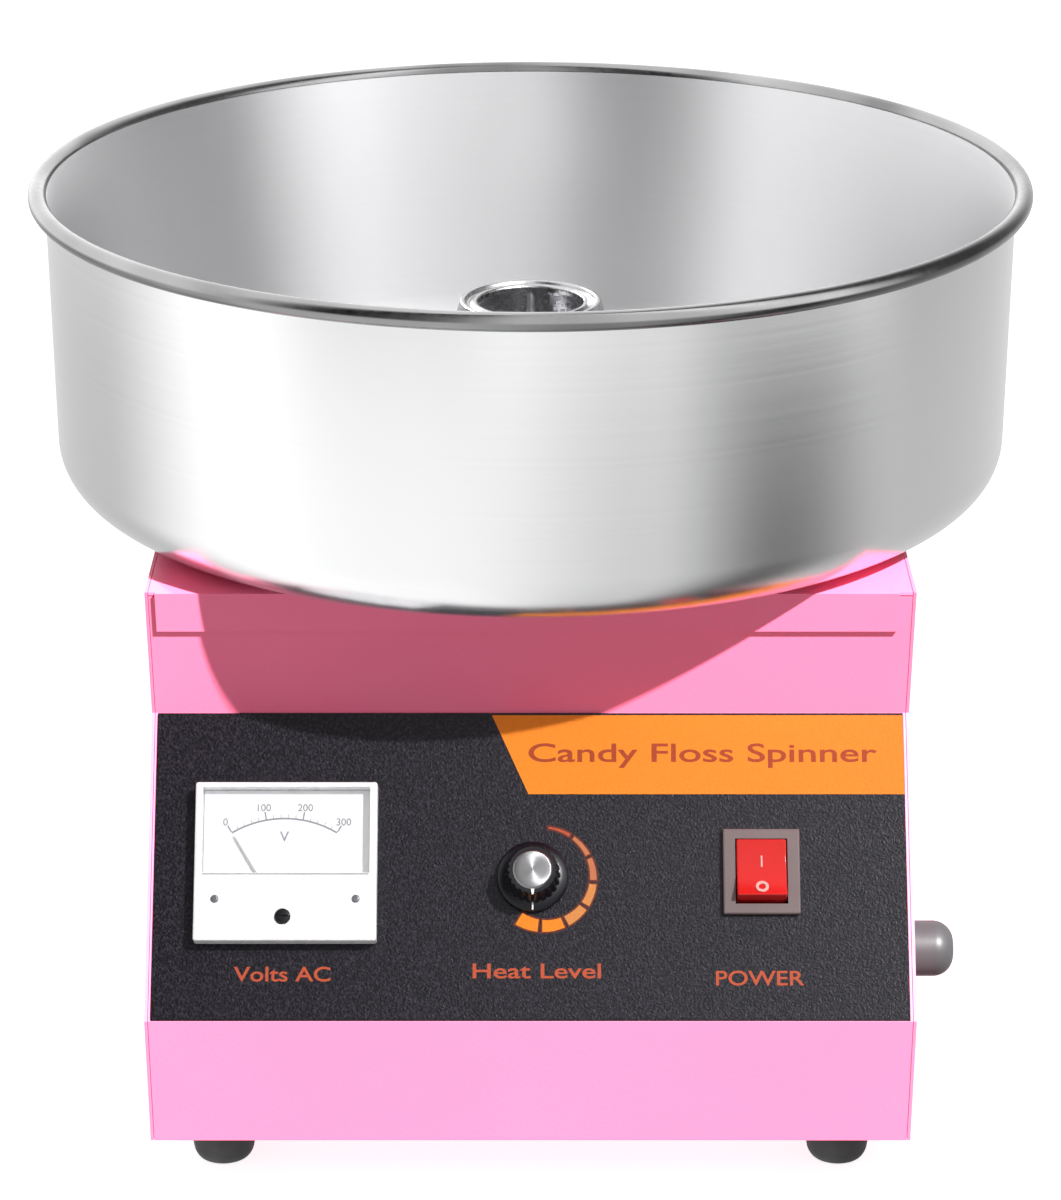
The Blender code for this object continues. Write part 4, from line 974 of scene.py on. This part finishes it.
def sphere(name, radius, centre_z):
    """A smooth sphere of the studio, which is no part of the machine."""
    shape = bmesh.new()
    bmesh.ops.create_uvsphere(shape, u_segments=64, v_segments=32, radius=radius)
    mesh = bpy.data.meshes.new(name)
    shape.to_mesh(mesh)
    shape.free()
    mesh.shade_smooth()
    obj = bpy.data.objects.new(name, mesh)
    obj.location = (0, 0, centre_z)
    bpy.context.scene.collection.objects.link(obj)
    return obj


def emission_material(name, strength):
    """A glowing material and its emission node."""
    made = bpy.data.materials.new(name)
    made.use_nodes = True
    made.cycles.emission_sampling = "NONE"
    nodes, links = made.node_tree.nodes, made.node_tree.links
    nodes.remove(nodes["Principled BSDF"])
    glow = nodes.new("ShaderNodeEmission")
    glow.inputs["Strength"].default_value = strength
    links.new(glow.outputs["Emission"], nodes["Material Output"].inputs["Surface"])
    return made, glow


def card_ramp(material, azimuth, cards, top):
    """The cards' brightness as a colour ramp over the azimuth, scaled so that it stays below one."""
    nodes, links = material.node_tree.nodes, material.node_tree.links
    ramp = nodes.new("ShaderNodeValToRGB")
    ramp.color_ramp.interpolation = "EASE"
    stops = ramp.color_ramp.elements
    while len(stops) < len(cards):
        stops.new(0.5)
    for stop, (degrees, brightness) in zip(stops, cards):
        stop.position = degrees / 360 + 0.5
        share = brightness / top
        stop.color = (share, share, share, 1)
    links.new(azimuth, ramp.inputs["Fac"])
    return ramp.outputs["Color"]


def card_dome():
    """What polished metal reflects: soft cards all round, one set below eye level and one above."""
    dome = sphere("card_dome", DOME_RADIUS, DOME_CENTRE_Z)
    unseen_except(dome, "glossy")
    top = max(brightness for _, brightness in LOW_CARDS + HIGH_CARDS)
    made, glow = emission_material("card_dome", top)
    nodes, links = made.node_tree.nodes, made.node_tree.links
    place = nodes.new("ShaderNodeTexCoord")
    parts = nodes.new("ShaderNodeSeparateXYZ")
    links.new(place.outputs["Object"], parts.inputs["Vector"])
    backward = nodes.new("ShaderNodeMath")
    backward.operation = "MULTIPLY"
    backward.inputs[1].default_value = -1
    links.new(parts.outputs["Y"], backward.inputs[0])
    angle = nodes.new("ShaderNodeMath")
    angle.operation = "ARCTAN2"
    links.new(parts.outputs["X"], angle.inputs[0])
    links.new(backward.outputs["Value"], angle.inputs[1])
    azimuth = mapped(made, angle.outputs["Value"], 0, 1, -math.pi, math.pi)
    meet = DOME_RADIUS * math.sin(math.radians(CARDS_MEET_DEG))
    height = mapped(made, parts.outputs["Z"], 0, 1, -meet, meet)
    mix = nodes.new("ShaderNodeMix")
    mix.data_type = "RGBA"
    links.new(height, mix.inputs["Factor"])
    links.new(card_ramp(made, azimuth, LOW_CARDS, top), mix.inputs["A"])
    links.new(card_ramp(made, azimuth, HIGH_CARDS, top), mix.inputs["B"])
    links.new(mix.outputs["Result"], glow.inputs["Color"])
    dome.data.materials.append(made)


def white_backdrop():
    """The white that the camera sees behind the machine."""
    backdrop = sphere("backdrop", BACKDROP_RADIUS, 0)
    unseen_except(backdrop, "camera", "transmission")
    backdrop.data.materials.append(emission_material("backdrop", 1.0)[0])


def pale_floor():
    """A white floor that takes a soft contact shadow and isn't mirrored in the steel."""
    shape = bmesh.new()
    bmesh.ops.create_circle(shape, cap_ends=True, segments=64, radius=BACKDROP_RADIUS * 0.98)
    mesh = bpy.data.meshes.new("floor")
    shape.to_mesh(mesh)
    shape.free()
    floor = bpy.data.objects.new("floor", mesh)
    floor.location = (0, 0, -0.0002)
    bpy.context.scene.collection.objects.link(floor)
    unseen_except(floor, "camera")
    made = principled("floor", (0.9, 0.9, 0.9), 0.9)
    shader = shader_of(made)
    shader.inputs["Emission Color"].default_value = (1, 1, 1, 1)
    shader.inputs["Emission Strength"].default_value = FLOOR_GLOW
    made.cycles.emission_sampling = "NONE"
    mesh.materials.append(made)
    return floor


def sun(name, strength, azimuth_deg, elevation_deg, receivers, link_state):
    """A distant light on the receivers alone (INCLUDE) or on all but them (EXCLUDE). Everything shades it."""
    azimuth, elevation = math.radians(azimuth_deg), math.radians(elevation_deg)
    towards = Vector((
        math.sin(azimuth) * math.cos(elevation), -math.cos(azimuth) * math.cos(elevation), math.sin(elevation)
    ))
    data = bpy.data.lights.new(name, "SUN")
    data.energy = strength
    data.angle = math.radians(SUN_SIZE_DEG)
    light = bpy.data.objects.new(name, data)
    light.rotation_mode = "QUATERNION"
    light.rotation_quaternion = Vector((0, 0, 1)).rotation_difference(towards)
    bpy.context.scene.collection.objects.link(light)
    linked = bpy.data.collections.new(f"{name}_receivers")
    for obj in receivers:
        linked.objects.link(obj)
    light.light_linking.receiver_collection = linked
    for entry in linked.collection_objects:
        entry.light_linking.link_state = link_state


def soft_world():
    """Even white light from all round."""
    world = bpy.data.worlds.new("soft_light")
    world.use_nodes = True
    background = world.node_tree.nodes["Background"]
    background.inputs["Color"].default_value = (1, 1, 1, 1)
    background.inputs["Strength"].default_value = AMBIENT
    bpy.context.scene.world = world


def studio():
    """The whole studio. No sun falls on the bowl or floor, and the control panel gets a weaker key light."""
    bpy.context.scene.view_settings.view_transform = "Standard"
    soft_world()
    white_backdrop()
    card_dome()
    unlit = [pale_floor(), bpy.data.objects["bowl_shell"], bpy.data.objects["bowl_rolled_rim"]]
    panel = [obj for obj in bpy.context.scene.objects if obj.name.startswith(PANEL_PIECES)]
    sun("key_light", SUN_STRENGTH, SUN_AZIMUTH_DEG, SUN_ELEVATION_DEG, unlit + panel, "EXCLUDE")
    sun("panel_light", PANEL_SUN_STRENGTH, SUN_AZIMUTH_DEG, SUN_ELEVATION_DEG, panel, "INCLUDE")
    sun("fill_light", FILL_STRENGTH, FILL_AZIMUTH_DEG, FILL_ELEVATION_DEG, unlit, "EXCLUDE")


camera()
finish_cad_nodes()
make_bowl()
make_head()
make_feet()
make_cabinet_screws()
make_label_print()
make_heat_scale()
make_meter_print()
make_meter_screws()
make_zero_screw()
make_knob()
make_rocker()
make_fuse()
make_gland()
studio()
